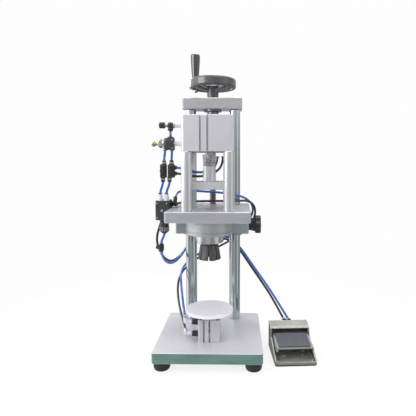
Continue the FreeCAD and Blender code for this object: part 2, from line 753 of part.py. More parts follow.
def build_mid_plate():
    body = plate(
        -MID_PLATE_WIDTH / 2, MID_PLATE_WIDTH / 2, MID_PLATE_FRONT, MID_PLATE_REAR,
        MID_PLATE_LOW, MID_PLATE_TOP, MID_PLATE_CORNER, PLATE_EDGE,
    )
    through = MID_PLATE_THICK + 2 * OVERCUT
    low = MID_PLATE_LOW - OVERCUT
    tools = [cylinder(POST_RADIUS + 2.0, through, c) for c in post_centres(low)]
    tools.append(cylinder(SCREW_RADIUS + 2.0, through, vec(0, POST_Y, low)))
    tools += [cylinder(PUSH_ROD_RADIUS + RUN_GAP, through, c) for c in push_rod_centres(low)]
    for centre in standoff_centres(MID_PLATE_TOP - STUD_LENGTH - 0.5):
        tools.append(cylinder(STUD_RADIUS + FIT_GAP, STUD_LENGTH + 1.5, centre))
    head_top = MID_PLATE_TOP - SCREW_SINK
    sink = SCREW_SINK + OVERCUT
    tools += [screw_hole(*BLOCK_SCREW, c, DOWN, sink) for c in block_screw_places(head_top)]
    tools += [screw_hole(*HOUSING_SCREW, c, DOWN, sink) for c in housing_screw_places(head_top)]
    tools.append(screw_hole(*CARRIER_SCREW, vec(0, AXIS_Y, head_top), DOWN, sink))
    return cut_all(body, tools)


def build_head_screws():
    """The screws that hold the slide block, flange housing and collet carrier to the mid plate."""
    head_top = MID_PLATE_TOP - SCREW_SINK
    screws = [socket_screw(*BLOCK_SCREW, c) for c in block_screw_places(head_top)]
    screws += [socket_screw(*HOUSING_SCREW, c) for c in housing_screw_places(head_top)]
    screws.append(socket_screw(*CARRIER_SCREW, vec(0, AXIS_Y, head_top)))
    return screws


def build_slide_block():
    body = plate(
        -BLOCK_RIGHT, BLOCK_RIGHT, BLOCK_FRONT, MID_PLATE_REAR,
        BLOCK_LOW, MID_PLATE_LOW, PLATE_CORNER, PLATE_EDGE,
    )
    through = BLOCK_HEIGHT + 2 * OVERCUT
    low = BLOCK_LOW - OVERCUT
    bush_outer = POST_RADIUS + BUSH_WALL
    tools = [cylinder(bush_outer + FIT_GAP, through, c) for c in post_centres(low)]
    tools.append(cylinder(NUT_RADIUS + FIT_GAP, through, vec(0, POST_Y, low)))
    tools += [screw_hole(*BLOCK_SCREW, c) for c in block_screw_places(MID_PLATE_TOP - SCREW_SINK)]
    stud_hole_length = BLOCK_RIGHT - POST_SPACING / 2 - bush_outer + 2 * OVERCUT
    stud_start = vec(BLOCK_RIGHT + OVERCUT, POST_Y, KNOB_Z)
    tools.append(cylinder(KNOB_STUD_RADIUS + RUN_GAP, stud_hole_length, stud_start, LEFT))
    return cut_all(body, tools)


def build_slide_bushes():
    """Flanged bronze bushes that run on the posts."""
    bushes = []
    for centre in post_centres(BLOCK_LOW):
        outer = POST_RADIUS + BUSH_WALL
        sleeve = cylinder(outer, BLOCK_HEIGHT, centre)
        flange = cylinder(outer + BUSH_FLANGE, BUSH_FLANGE, centre, DOWN)
        start = centre - UP * (BUSH_FLANGE + OVERCUT)
        bore = cylinder(POST_RADIUS + RUN_GAP, BLOCK_HEIGHT + BUSH_FLANGE + 2 * OVERCUT, start)
        bushes.append(fused([sleeve, flange]).cut(bore))
    return bushes


def build_lead_nut():
    """Flanged bronze nut of the lifting screw."""
    centre = vec(0, POST_Y, BLOCK_LOW)
    body = cylinder(NUT_RADIUS, BLOCK_HEIGHT, centre)
    flange = cylinder(NUT_FLANGE_RADIUS, NUT_FLANGE_THICK, centre, DOWN)
    start = centre - UP * (NUT_FLANGE_THICK + OVERCUT)
    bore = cylinder(SCREW_RADIUS + RUN_GAP, BLOCK_HEIGHT + NUT_FLANGE_THICK + 2 * OVERCUT, start)
    return fused([body, flange]).cut(bore)


def build_standoffs(centres):
    """Columns with a threaded stud at each end."""
    columns = []
    for centre in centres:
        low = centre.z
        high = low + STANDOFF_LENGTH
        columns.append(revolved([
            (0, low - STUD_LENGTH),
            (STUD_RADIUS, low - STUD_LENGTH),
            (STUD_RADIUS, low),
            (STANDOFF_RADIUS - 1.0, low),
            (STANDOFF_RADIUS, low + 1.0),
            (STANDOFF_RADIUS, high - 1.0),
            (STANDOFF_RADIUS - 1.0, high),
            (STUD_RADIUS, high),
            (STUD_RADIUS, high + STUD_LENGTH),
            (0, high + STUD_LENGTH),
        ], centre))
    return columns


def slot_tool(x, face_y, low, height):
    """A sensor groove: a round channel behind a narrow mouth, cut into a front face."""
    start, end = low - OVERCUT, low + height + OVERCUT
    channel = cylinder(SLOT_GROOVE_RADIUS, end - start, vec(x, face_y + SLOT_DEPTH, start))
    half = SLOT_MOUTH / 2
    mouth = box(x - half, x + half, face_y - OVERCUT, face_y + SLOT_DEPTH, start, end)
    return channel.fuse(mouth)


def build_head_barrel():
    """Square extruded cylinder body, blind at the top."""
    half = CYL_WIDTH / 2
    body = plate(-half, half, AXIS_Y - half, AXIS_Y + half, CYL_LOW, CYL_TOP, CYL_CORNER, PLATE_EDGE / 2)
    bore_length = CYL_HEIGHT - CYL_END_WALL + OVERCUT
    tools = [cylinder(CYL_BORE_RADIUS, bore_length, vec(0, AXIS_Y, CYL_LOW - OVERCUT))]
    for centre in standoff_centres(CYL_LOW - OVERCUT):
        tools.append(cylinder(STUD_RADIUS + FIT_GAP, STUD_LENGTH + 1.5, centre))
    axis = vec(0, AXIS_Y, 0)
    for x in SLOT_X:
        for turn in (0, 90, 180):
            tool = slot_tool(x, AXIS_Y - half, CYL_LOW, CYL_HEIGHT)
            tool.rotate(axis, UP, turn)
            tools.append(tool)
    for z in (PORT_Z_HIGH, PORT_Z_LOW):
        start = vec(CYL_LEFT - OVERCUT, AXIS_Y, z)
        tools.append(cylinder(PORT_HOLE_RADIUS, half - CYL_BORE_RADIUS + 2 * OVERCUT, start, X_AXIS))
    return cut_all(body, tools)


def build_rod_cover():
    """Disc that closes the cylinder and guides its rod."""
    disc = ring(CYL_BORE_RADIUS - FIT_GAP, ROD_RADIUS + RUN_GAP, COVER_THICK, vec(0, AXIS_Y, COVER_LOW))
    groove = ring(ROD_RADIUS + 8.0, ROD_RADIUS + 6.0, 1.5, vec(0, AXIS_Y, COVER_LOW - 0.5))
    return disc.cut(groove)


def piston_low():
    return CYL_TOP - CYL_END_WALL - PISTON_TOP_GAP - PISTON_THICK


def build_head_piston():
    """Piston with its seal groove."""
    low = piston_low()
    top = low + PISTON_THICK
    outer = CYL_BORE_RADIUS - RUN_GAP
    return revolved([
        (ROD_RADIUS, low),
        (outer - 1.0, low),
        (outer, low + 1.0),
        (outer, low + 7.0),
        (outer - 4.0, low + 7.0),
        (outer - 4.0, top - 7.0),
        (outer, top - 7.0),
        (outer, top - 1.0),
        (outer - 1.0, top),
        (ROD_RADIUS, top),
    ], vec(0, AXIS_Y, 0))


def build_head_rod():
    low = COUPLING_LOW + COUPLING_FLOOR
    top = piston_low() + PISTON_THICK
    body = cylinder(ROD_RADIUS, top - low, vec(0, AXIS_Y, low))
    return body.makeChamfer(1.0, rim_edges(body, low))


def build_rod_coupling():
    """Coupling body with a knurl groove, and the jam nut that locks it on the rod."""
    low = COUPLING_LOW
    top = low + COUPLING_HEIGHT
    edge = COUPLING_RADIUS
    body = revolved([
        (0, low),
        (edge - 1.0, low),
        (edge, low + 1.0),
        (edge, low + 6.0),
        (edge - 1.5, low + 7.0),
        (edge - 1.5, low + 9.0),
        (edge, low + 10.0),
        (edge, top - 1.0),
        (edge - 1.0, top),
        (ROD_RADIUS + FIT_GAP, top),
        (ROD_RADIUS + FIT_GAP, low + COUPLING_FLOOR),
        (0, low + COUPLING_FLOOR),
    ], vec(0, AXIS_Y, 0))
    nut = hex_prism(JAM_NUT_ACROSS, JAM_NUT_THICK, vec(0, AXIS_Y, top))
    bore_start = vec(0, AXIS_Y, top - OVERCUT)
    nut = nut.cut(cylinder(ROD_RADIUS + FIT_GAP, JAM_NUT_THICK + 2 * OVERCUT, bore_start))
    return [body, nut]


def build_drive_shaft():
    low = YOKE_TOP
    body = cylinder(DRIVE_SHAFT_RADIUS, COUPLING_LOW - low, vec(0, AXIS_Y, low))
    return body.makeChamfer(1.0, rim_edges(body, COUPLING_LOW))


def push_rod_centres(z):
    return [vec(side * PUSH_ROD_REACH, AXIS_Y, z) for side in (-1, 1)]


def build_yoke_plate():
    body = plate(
        -YOKE_WIDTH / 2, YOKE_WIDTH / 2, AXIS_Y - YOKE_DEPTH / 2, AXIS_Y + YOKE_DEPTH / 2,
        YOKE_LOW, YOKE_TOP, PLATE_CORNER, PLATE_EDGE,
    )
    tools = []
    for centre in push_rod_centres(YOKE_LOW - OVERCUT):
        tools.append(cylinder(PUSH_SPIGOT_RADIUS + FIT_GAP, PUSH_SPIGOT_LENGTH + 1.5, centre))
    return cut_all(body, tools)


def build_push_rods():
    """Two rods that carry the yoke's stroke down through the mid plate."""
    rods = []
    low, high = SLEEVE_FLANGE_TOP, YOKE_LOW
    for centre in push_rod_centres(0):
        rods.append(revolved([
            (0, low - PUSH_SPIGOT_LENGTH),
            (PUSH_SPIGOT_RADIUS, low - PUSH_SPIGOT_LENGTH),
            (PUSH_SPIGOT_RADIUS, low),
            (PUSH_ROD_RADIUS, low),
            (PUSH_ROD_RADIUS, high),
            (PUSH_SPIGOT_RADIUS, high),
            (PUSH_SPIGOT_RADIUS, high + PUSH_SPIGOT_LENGTH),
            (0, high + PUSH_SPIGOT_LENGTH),
        ], centre))
    return rods


def build_flange_housing():
    """Turned ring under the mid plate, with a lip that the sleeve passes through."""
    low, top = HOUSING_LOW, MID_PLATE_LOW
    inner = HOUSING_RADIUS - HOUSING_WALL
    lip = SLEEVE_RADIUS + 2.0
    body = revolved([
        (lip, low + 0.8),
        (lip + 0.8, low),
        (HOUSING_RADIUS - 1.5, low),
        (HOUSING_RADIUS, low + 1.5),
        (HOUSING_RADIUS, low + 6.0),
        (HOUSING_RADIUS - 1.5, low + 7.0),
        (HOUSING_RADIUS - 1.5, low + 9.0),
        (HOUSING_RADIUS, low + 10.0),
        (HOUSING_RADIUS, top),
        (inner, top),
        (inner, low + HOUSING_LIP_THICK),
        (lip, low + HOUSING_LIP_THICK),
    ], vec(0, AXIS_Y, 0))
    tools = []
    radius, length = HOUSING_SCREW
    for place in housing_screw_places(MID_PLATE_TOP - SCREW_SINK):
        tools.append(cylinder(radius + FIT_GAP, length + radius * 2 + OVERCUT, place, DOWN))
    return cut_all(body, tools)


def build_closing_sleeve():
    """Sleeve that slides down over the jaws and closes them, with notches round its mouth."""
    body = revolved([
        (SLEEVE_BORE_RADIUS, SLEEVE_LOW + 1.0),
        (SLEEVE_BORE_RADIUS + 1.0, SLEEVE_LOW),
        (SLEEVE_RADIUS - 1.2, SLEEVE_LOW),
        (SLEEVE_RADIUS, SLEEVE_LOW + 1.2),
        (SLEEVE_RADIUS, SLEEVE_FLANGE_LOW),
        (SLEEVE_FLANGE_RADIUS, SLEEVE_FLANGE_LOW),
        (SLEEVE_FLANGE_RADIUS, SLEEVE_FLANGE_TOP),
        (SLEEVE_BORE_RADIUS, SLEEVE_FLANGE_TOP),
    ], vec(0, AXIS_Y, 0))
    tools = []
    for step in range(SLEEVE_NOTCHES):
        notch = box(
            SLEEVE_RADIUS - NOTCH_DEPTH, SLEEVE_RADIUS + OVERCUT,
            AXIS_Y - NOTCH_WIDTH / 2, AXIS_Y + NOTCH_WIDTH / 2,
            SLEEVE_LOW - OVERCUT, SLEEVE_LOW + NOTCH_HEIGHT,
        )
        notch.rotate(vec(0, AXIS_Y, 0), UP, (step + 0.5) * 360.0 / SLEEVE_NOTCHES)
        tools.append(notch)
    for centre in push_rod_centres(SLEEVE_FLANGE_TOP + OVERCUT):
        tools.append(cylinder(PUSH_SPIGOT_RADIUS + FIT_GAP, PUSH_SPIGOT_LENGTH + 1.5, centre, DOWN))
    return cut_all(body, tools)


def bead_ring(radius):
    """The ring of round section that a collet's beads lie on."""
    return Part.makeTorus(JAW_PIVOT_RADIUS, radius, vec(0, AXIS_Y, JAW_PIVOT_Z), UP)


def build_jaw_carrier():
    """Core under the mid plate whose groove holds the jaws by their beads."""
    web_half = JAW_WEB_THICK / 2
    foot_top = JAW_PIVOT_Z - web_half - 0.7
    body_low = JAW_PIVOT_Z + web_half + 0.9
    foot_low = foot_top - 4.1
    neck = JAW_PIVOT_RADIUS - JAW_BEAD_RADIUS - JAW_BEAD_GAP
    body = revolved([
        (0, foot_low),
        (CARRIER_FOOT_RADIUS - 1.5, foot_low),
        (CARRIER_FOOT_RADIUS, foot_low + 1.5),
        (CARRIER_FOOT_RADIUS, foot_top),
        (neck, foot_top),
        (neck, body_low),
        (CARRIER_RADIUS - 1.0, body_low),
        (CARRIER_RADIUS, body_low + 1.0),
        (CARRIER_RADIUS, MID_PLATE_LOW),
        (0, MID_PLATE_LOW),
    ], vec(0, AXIS_Y, 0))
    body = body.cut(bead_ring(JAW_BEAD_RADIUS + JAW_BEAD_GAP))
    radius, length = CARRIER_SCREW
    head_top = vec(0, AXIS_Y, MID_PLATE_TOP - SCREW_SINK)
    return body.cut(cylinder(radius + FIT_GAP, length + radius * 2 + OVERCUT, head_top, DOWN))


def jaw_gap(z):
    """Width of the slit between two jaws, so that they still clear when closed."""
    lever = JAW_PIVOT_Z - z
    closing = math.tan(math.radians(JAW_CLOSE_DEG)) * lever
    return JAW_TOP_GAP + max(closing, 0.0) * 2 * math.pi / JAW_COUNT


def build_jaws():
    """A collet of separate jaws: bead, neck groove, flared skirt and crimping lip."""
    web_half = JAW_WEB_THICK / 2
    web_low = JAW_PIVOT_Z - web_half
    web_top = JAW_PIVOT_Z + web_half
    neck_high = web_low - 3.5
    neck_low = neck_high - 4.5
    body = revolved([
        (JAW_PIVOT_RADIUS, web_low),
        (JAW_BORE_RADIUS, web_low),
        (JAW_BORE_RADIUS, JAW_LOW_Z + 10.0),
        (JAW_LIP_RADIUS, JAW_LOW_Z + 6.0),
        (JAW_LIP_RADIUS, JAW_LOW_Z + 2.5),
        (JAW_LIP_RADIUS + 2.0, JAW_LOW_Z),
        (JAW_LOW_RADIUS - 0.8, JAW_LOW_Z),
        (JAW_LOW_RADIUS, JAW_LOW_Z + 1.2),
        (JAW_TOP_RADIUS, neck_low),
        (JAW_TOP_RADIUS - 1.8, neck_low),
        (JAW_TOP_RADIUS - 1.8, neck_high),
        (JAW_TOP_RADIUS, neck_high),
        (JAW_TOP_RADIUS, web_top - 0.8),
        (JAW_TOP_RADIUS - 0.8, web_top),
        (JAW_PIVOT_RADIUS, web_top),
    ], vec(0, AXIS_Y, 0))
    collet = body.fuse(bead_ring(JAW_BEAD_RADIUS)).removeSplitter()
    low, high = JAW_LOW_Z - 1.0, web_top + 2.0
    for step in range(JAW_COUNT):
        half_low, half_high = jaw_gap(low) / 2, JAW_TOP_GAP / 2
        corners = [
            vec(0, AXIS_Y - half_low, low),
            vec(0, AXIS_Y + half_low, low),
            vec(0, AXIS_Y + half_high, JAW_PIVOT_Z),
            vec(0, AXIS_Y + half_high, high),
            vec(0, AXIS_Y - half_high, high),
            vec(0, AXIS_Y - half_high, JAW_PIVOT_Z),
        ]
        slit = Part.Face(Part.makePolygon(corners + [corners[0]])).extrude(vec(JAW_LOW_RADIUS + 5.0, 0, 0))
        slit.rotate(vec(0, AXIS_Y, 0), UP, -90.0 + step * 360.0 / JAW_COUNT)
        collet = collet.cut(slit)
    sector = 360.0 / JAW_COUNT

    def order(solid):
        centre = solid.CenterOfMass
        angle = math.degrees(math.atan2(centre.y - AXIS_Y, centre.x))
        return int(((angle + 90.0) % 360.0) // sector)

    return sorted(collet.Solids, key=order)


def build_platform():
    """Round table on the lifting rod, with a hub below."""
    top = PLATFORM_LOW + PLATFORM_THICK
    hub_low = PLATFORM_LOW - PLATFORM_HUB_HEIGHT
    return revolved([
        (LIFT_ROD_RADIUS - 3.0 + FIT_GAP, hub_low),
        (PLATFORM_HUB_RADIUS - 1.0, hub_low),
        (PLATFORM_HUB_RADIUS, hub_low + 1.0),
        (PLATFORM_HUB_RADIUS, PLATFORM_LOW),
        (PLATFORM_RADIUS - 0.8, PLATFORM_LOW),
        (PLATFORM_RADIUS, PLATFORM_LOW + 0.8),
        (PLATFORM_RADIUS, top - 0.8),
        (PLATFORM_RADIUS - 0.8, top),
        (0, top),
        (0, PLATFORM_LOW + 2.0),
        (LIFT_ROD_RADIUS - 3.0 + FIT_GAP, PLATFORM_LOW + 2.0),
    ], vec(0, AXIS_Y, 0))


def build_lift_rod():
    """Rod and piston of the lifting cylinder, with a threaded spigot in the platform hub."""
    low = BASE_TOP + LIFT_FLOOR + 1.0
    piston_top = low + LIFT_PISTON_THICK
    hub_low = PLATFORM_LOW - PLATFORM_HUB_HEIGHT
    outer = LIFT_BORE_RADIUS - RUN_GAP
    return revolved([
        (0, low),
        (outer, low),
        (outer, low + 3.0),
        (outer - 2.5, low + 3.0),
        (outer - 2.5, piston_top - 3.0),
        (outer, piston_top - 3.0),
        (outer, piston_top),
        (LIFT_ROD_RADIUS, piston_top),
        (LIFT_ROD_RADIUS, hub_low),
        (LIFT_ROD_RADIUS - 3.0, hub_low),
        (LIFT_ROD_RADIUS - 3.0, PLATFORM_LOW + 1.5),
        (0, PLATFORM_LOW + 1.5),
    ], vec(0, AXIS_Y, 0))


def lift_screw_places():
    """Heads of the four long screws of the lifting cylinder."""
    reach = LIFT_WIDTH / 2 - LIFT_SCREW_INSET
    top = LIFT_TOP - LOW_SCREW_SINK
    return [vec(sx * reach, AXIS_Y + sy * reach, top) for sx in (-1, 1) for sy in (-1, 1)]


def build_lift_barrel():
    """Square compact cylinder standing on the base plate."""
    half = LIFT_WIDTH / 2
    body = plate(-half, half, AXIS_Y - half, AXIS_Y + half, BASE_TOP, LIFT_TOP, 4.0, 0.5)
    bore_low = BASE_TOP + LIFT_FLOOR
    bore_high = LIFT_TOP - LIFT_COVER_THICK
    tools = [cylinder(LIFT_BORE_RADIUS, bore_high - bore_low, vec(0, AXIS_Y, bore_low))]
    guide = vec(0, AXIS_Y, bore_high - OVERCUT)
    tools.append(cylinder(LIFT_ROD_RADIUS + RUN_GAP, LIFT_COVER_THICK + 2 * OVERCUT, guide))
    tools += [slot_tool(x, AXIS_Y - half, BASE_TOP, LIFT_HEIGHT) for x in LIFT_SLOT_X]
    tools += [screw_hole(*LIFT_SCREW, c) for c in lift_screw_places()]
    return cut_all(body, tools)


def build_lift_fittings():
    """Two swivel elbows on the left of the lifting cylinder: one turned up, one turned back."""
    face = -LIFT_WIDTH / 2
    fittings = []
    for z, turn in LIFT_PORTS:
        start = vec(face, AXIS_Y, z)
        fittings.append(elbow(start, LEFT, LIFT_ELBOW_REACH, unit(turn), LIFT_SOCKET, LIFT_ELBOW_RADIUS))
    return fittings


def lift_port_end(index):
    """Mouth of one of the lifting cylinder's elbows."""
    z, turn = LIFT_PORTS[index]
    end = vec(-LIFT_WIDTH / 2 - LIFT_ELBOW_REACH, AXIS_Y, z) + unit(turn) * LIFT_SOCKET
    return (end.x, end.y, end.z)


def build_port_fittings():
    """Fittings of the head cylinder: upper elbow with its regulating knob, lower nipple, rear elbows."""
    corner = vec(ELBOW_X, AXIS_Y, PORT_Z_HIGH)
    nipple_length = CYL_LEFT - ELBOW_X
    nipple = cylinder(NIPPLE_RADIUS, nipple_length, vec(ELBOW_X, AXIS_Y, PORT_Z_HIGH), X_AXIS)
    nut = hex_prism(PORT_NUT_ACROSS, PORT_NUT_THICK, vec(CYL_LEFT, AXIS_Y, PORT_Z_HIGH), LEFT)
    knuckle = cylinder(ELBOW_RADIUS, 14.0, vec(ELBOW_X, AXIS_Y, PORT_Z_HIGH + 7.0), DOWN)
    socket = cylinder(ELBOW_RADIUS, ELBOW_DROP - COLLAR_LENGTH, corner, DOWN)
    lip = cylinder(ELBOW_RADIUS * 0.78, ELBOW_DROP, corner, DOWN)
    neck = cylinder(PORT_NECK_RADIUS, PORT_KNOB_START + OVERCUT, corner, LEFT)
    knob = cylinder(PORT_KNOB_RADIUS, PORT_KNOB_LENGTH, corner + LEFT * PORT_KNOB_START, LEFT)
    upper = fused([nipple, nut, knuckle, socket, lip, neck, knob])
    low_length = CYL_LEFT - INLET_X_HIGH
    low_nipple = cylinder(NIPPLE_RADIUS, low_length, vec(INLET_X_HIGH, AXIS_Y, PORT_Z_LOW), X_AXIS)
    low_nut = hex_prism(PORT_NUT_ACROSS, PORT_NUT_THICK, vec(CYL_LEFT, AXIS_Y, PORT_Z_LOW), LEFT)
    lower = fused([low_nipple, low_nut])
    rear = []
    for x in REAR_ELBOW_X:
        start = vec(x, CYL_REAR, REAR_ELBOW_Z)
        rear.append(elbow(start, BACK, REAR_ELBOW_REACH, DOWN, REAR_SOCKET, REAR_ELBOW_RADIUS))
    return [upper, lower] + rear


def build_inlet_block():
    """Distribution block with two push-in outlets below and one above."""
    half = INLET_DEPTH / 2
    body = plate(
        INLET_X_LOW, INLET_X_HIGH, AXIS_Y - half, AXIS_Y + half,
        INLET_LOW + 5.0, INLET_HIGH - 4.0, 3.0, 0.8,
    )
    pieces = [body]
    for x in BLOCK_OUTLETS:
        pieces.append(cylinder(OUTLET_RADIUS, OUTLET_LENGTH, vec(x, AXIS_Y, INLET_LOW), UP))
    pieces.append(cylinder(OUTLET_RADIUS + 0.5, OUTLET_LENGTH, vec(ELBOW_X, AXIS_Y, INLET_HIGH), DOWN))
    return fused(pieces)


def build_quick_plug():
    """Air nipple: hexagon, stepped collar, neck with a locking groove and a round tip."""
    start = INLET_X_LOW
    reach = start - PLUG_TIP_X
    section = [
        (0, 0), (9.0, 0), (9.0, 2.0), (11.0, 2.0), (11.0, 8.5), (8.5, 9.5), (6.5, 11.5),
        (5.25, 13.0), (5.25, reach - 8.5), (7.0, reach - 7.0), (7.5, reach - 5.5),
        (7.5, reach - 2.0), (6.0, reach), (3.0, reach), (3.0, reach - 10.0), (0, reach - 10.0),
    ]
    body = revolved(section, vec(0, 0, 0))
    body.Placement = FreeCAD.Placement(vec(start, AXIS_Y, PORT_Z_LOW), FreeCAD.Rotation(UP, LEFT))
    return body


def build_flow_controls():
    """Two inline speed regulators with push-in ends, each with a needle knob in front."""
    bodies = []
    half_width, half_depth = FLOW_WIDTH / 2, FLOW_DEPTH / 2
    middle_z = (FLOW_LOW + FLOW_HIGH) / 2
    for centre_x, high_x, low_x in zip(FLOW_X, FLOW_TOP_PORTS, FLOW_LOW_PORTS):
        body = plate(
            centre_x - half_width, centre_x + half_width, FLOW_Y - half_depth, FLOW_Y + half_depth,
            FLOW_LOW + FLOW_SPIGOT, FLOW_HIGH - FLOW_SPIGOT, 3.0, 0.8,
        )
        high = cylinder(OUTLET_RADIUS, FLOW_SPIGOT, vec(high_x, FLOW_Y, FLOW_HIGH), DOWN)
        low = cylinder(OUTLET_RADIUS, FLOW_SPIGOT, vec(low_x, FLOW_Y, FLOW_LOW), UP)
        neck_length = NEEDLE_KNOB_START + OVERCUT
        neck = cylinder(NEEDLE_NECK_RADIUS, neck_length, vec(centre_x, FLOW_Y, middle_z), FRONT)
        knob_start = vec(centre_x, FLOW_Y - NEEDLE_KNOB_START, middle_z)
        knob = cylinder(NEEDLE_KNOB_RADIUS, NEEDLE_KNOB_LENGTH, knob_start, FRONT)
        pieces = [body, high, low, neck, knob]
        if centre_x == FLOW_X[1]:
            for z in SIDE_PORT_Z:
                length = SIDE_PORT_X - centre_x
                pieces.append(cylinder(SIDE_PORT_RADIUS, length, vec(centre_x, FLOW_Y, z), X_AXIS))
        bodies.append(fused(pieces))
    return bodies


def build_valve_body():
    """Valve block bolted to the mid plate's left edge, with its pilot cap below."""
    body = plate(VALVE_X_LOW, PLATE_LEFT, VALVE_Y_LOW, VALVE_Y_HIGH, VALVE_LOW, VALVE_HIGH, 3.0, 1.0)
    pilot = cylinder(PILOT_RADIUS, PILOT_LENGTH, vec(COUPLING_NUT_X, PORT_Y, VALVE_LOW), DOWN)
    outlet = cylinder(OUTLET_RADIUS, OUTLET_LENGTH, vec(VALVE_OUTLET_X, VALVE_OUTLET_Y, VALVE_LOW), DOWN)
    pieces = [body, pilot, outlet]
    for y, z, turn in VALVE_SIDE_PORTS:
        start = vec(PLATE_LEFT, y, z)
        pieces.append(elbow(start, X_AXIS, VALVE_SIDE_REACH, unit(turn), VALVE_SOCKET, VALVE_SIDE_RADIUS))
    return fused(pieces)


def valve_port_end(index):
    """Mouth of one of the valve's side elbows."""
    y, z, turn = VALVE_SIDE_PORTS[index]
    end = vec(PLATE_LEFT + VALVE_SIDE_REACH, y, z) + unit(turn) * VALVE_SOCKET
    return (end.x, end.y, end.z)


def build_valve_fittings():
    """Two push-in fittings on top of the valve."""
    fittings = []
    for x in VALVE_TOP_PORTS:
        fittings.append(straight_fitting(vec(x, VALVE_TOP_Y, VALVE_HIGH), UP, 6.0, VALVE_TOP_FITTING, 6.0))
    return fittings


def build_coupling_nut():
    """Ribbed nut and collar on the pilot outlet."""
    top = VALVE_LOW - PILOT_LENGTH
    low = top - COUPLING_NUT_HEIGHT
    outer = COUPLING_NUT_RADIUS
    body = revolved([
        (0, low - 3.0), (outer - 5.0, low - 3.0), (outer - 2.5, low - 1.0), (outer - 2.5, low),
        (outer - 1.0, low), (outer, low + 1.0), (outer, top - 1.0), (outer - 1.0, top), (0, top),
    ], vec(COUPLING_NUT_X, PORT_Y, 0))
    tools = []
    reach = outer + 0.4
    for step in range(COUPLING_NUT_RIBS):
        angle = math.radians(360.0 / COUPLING_NUT_RIBS * step)
        spot = vec(COUPLING_NUT_X + reach * math.cos(angle), PORT_Y + reach * math.sin(angle), low + 1.5)
        tools.append(cylinder(1.1, top - low - 3.0, spot))
    return cut_all(body, tools)


def build_inline_fitting():
    """Small inline connector with a release ring at its side."""
    centre = vec(INLINE_X, PORT_Y, 0)
    body = revolved([
        (0, INLINE_LOW), (4.5, INLINE_LOW), (4.5, INLINE_LOW + 3.0), (6.5, INLINE_LOW + 3.0),
        (6.5, INLINE_HIGH - 3.0), (4.5, INLINE_HIGH - 3.0), (4.5, INLINE_HIGH), (0, INLINE_HIGH),
    ], centre)
    side = cylinder(4.0, 13.0, vec(INLINE_X, PORT_Y, (INLINE_LOW + INLINE_HIGH) / 2), LEFT)
    return fused([body, side])


def build_clamp_knob():
    """Lobed knob with a hub and a threaded stud that clamps the head on its post."""
    start = vec(BLOCK_RIGHT + PART_GAP, POST_Y, KNOB_Z)
    hub = Part.makeCone(KNOB_HUB_RADIUS - 4.0, KNOB_HUB_RADIUS, KNOB_HUB_LENGTH, start, X_AXIS)
    head_start = start + X_AXIS * KNOB_HUB_LENGTH
    head = cylinder(KNOB_RADIUS, KNOB_HEAD_THICK, head_start, X_AXIS)
    head = head.makeFillet(3.0, [e for e in head.Edges if e.Length > KNOB_RADIUS * 4])
    for step in range(KNOB_LOBES):
        angle = math.radians(360.0 / KNOB_LOBES * (step + 0.5))
        spot = vec(-OVERCUT, math.cos(angle) * KNOB_LOBE_REACH, math.sin(angle) * KNOB_LOBE_REACH)
        hollow = cylinder(KNOB_LOBE_RADIUS, KNOB_HEAD_THICK + 2 * OVERCUT, head_start + spot, X_AXIS)
        head = head.cut(hollow)
    stud = cylinder(KNOB_STUD_RADIUS, KNOB_STUD_LENGTH + PART_GAP, start, LEFT)
    return fused([hub, head, stud])


def pedal_place(shape):
    """Moves a shape from the pedal's own axes to its place beside the base."""
    placed = shape.copy()
    turn = FreeCAD.Rotation(UP, PEDAL_YAW)
    placed.Placement = FreeCAD.Placement(vec(PEDAL_X, PEDAL_Y, 0), turn).multiply(shape.Placement)
    return placed


def side_profile(points, half_width):
    """A solid from a side outline of (y, z) points, as wide as twice half_width."""
    corners = [vec(-half_width, y, z) for y, z in points]
    return Part.Face(Part.makePolygon(corners + [corners[0]])).extrude(vec(half_width * 2, 0, 0))


def build_pedal_sole():
    """Rubber sheet under the whole pedal, rounded like its housing."""
    half, back = PEDAL_WIDTH / 2, PEDAL_LENGTH / 2
    return pedal_place(plate(-half, half, -back, back, 0, PEDAL_SOLE, PEDAL_CORNER, 0))


def floor_slot(x, y):
    """Cutter for an oblong fixing hole through the pedal's floor."""
    low, high = PEDAL_SOLE - OVERCUT, PEDAL_FLOOR + OVERCUT
    half = PEDAL_SLOT_LENGTH / 2
    left = cylinder(PEDAL_SLOT_RADIUS, high - low, vec(x - half, y, low))
    right = cylinder(PEDAL_SLOT_RADIUS, high - low, vec(x + half, y, low))
    middle = box(x - half, x + half, y - PEDAL_SLOT_RADIUS, y + PEDAL_SLOT_RADIUS, low, high)
    return fused([middle, left, right])


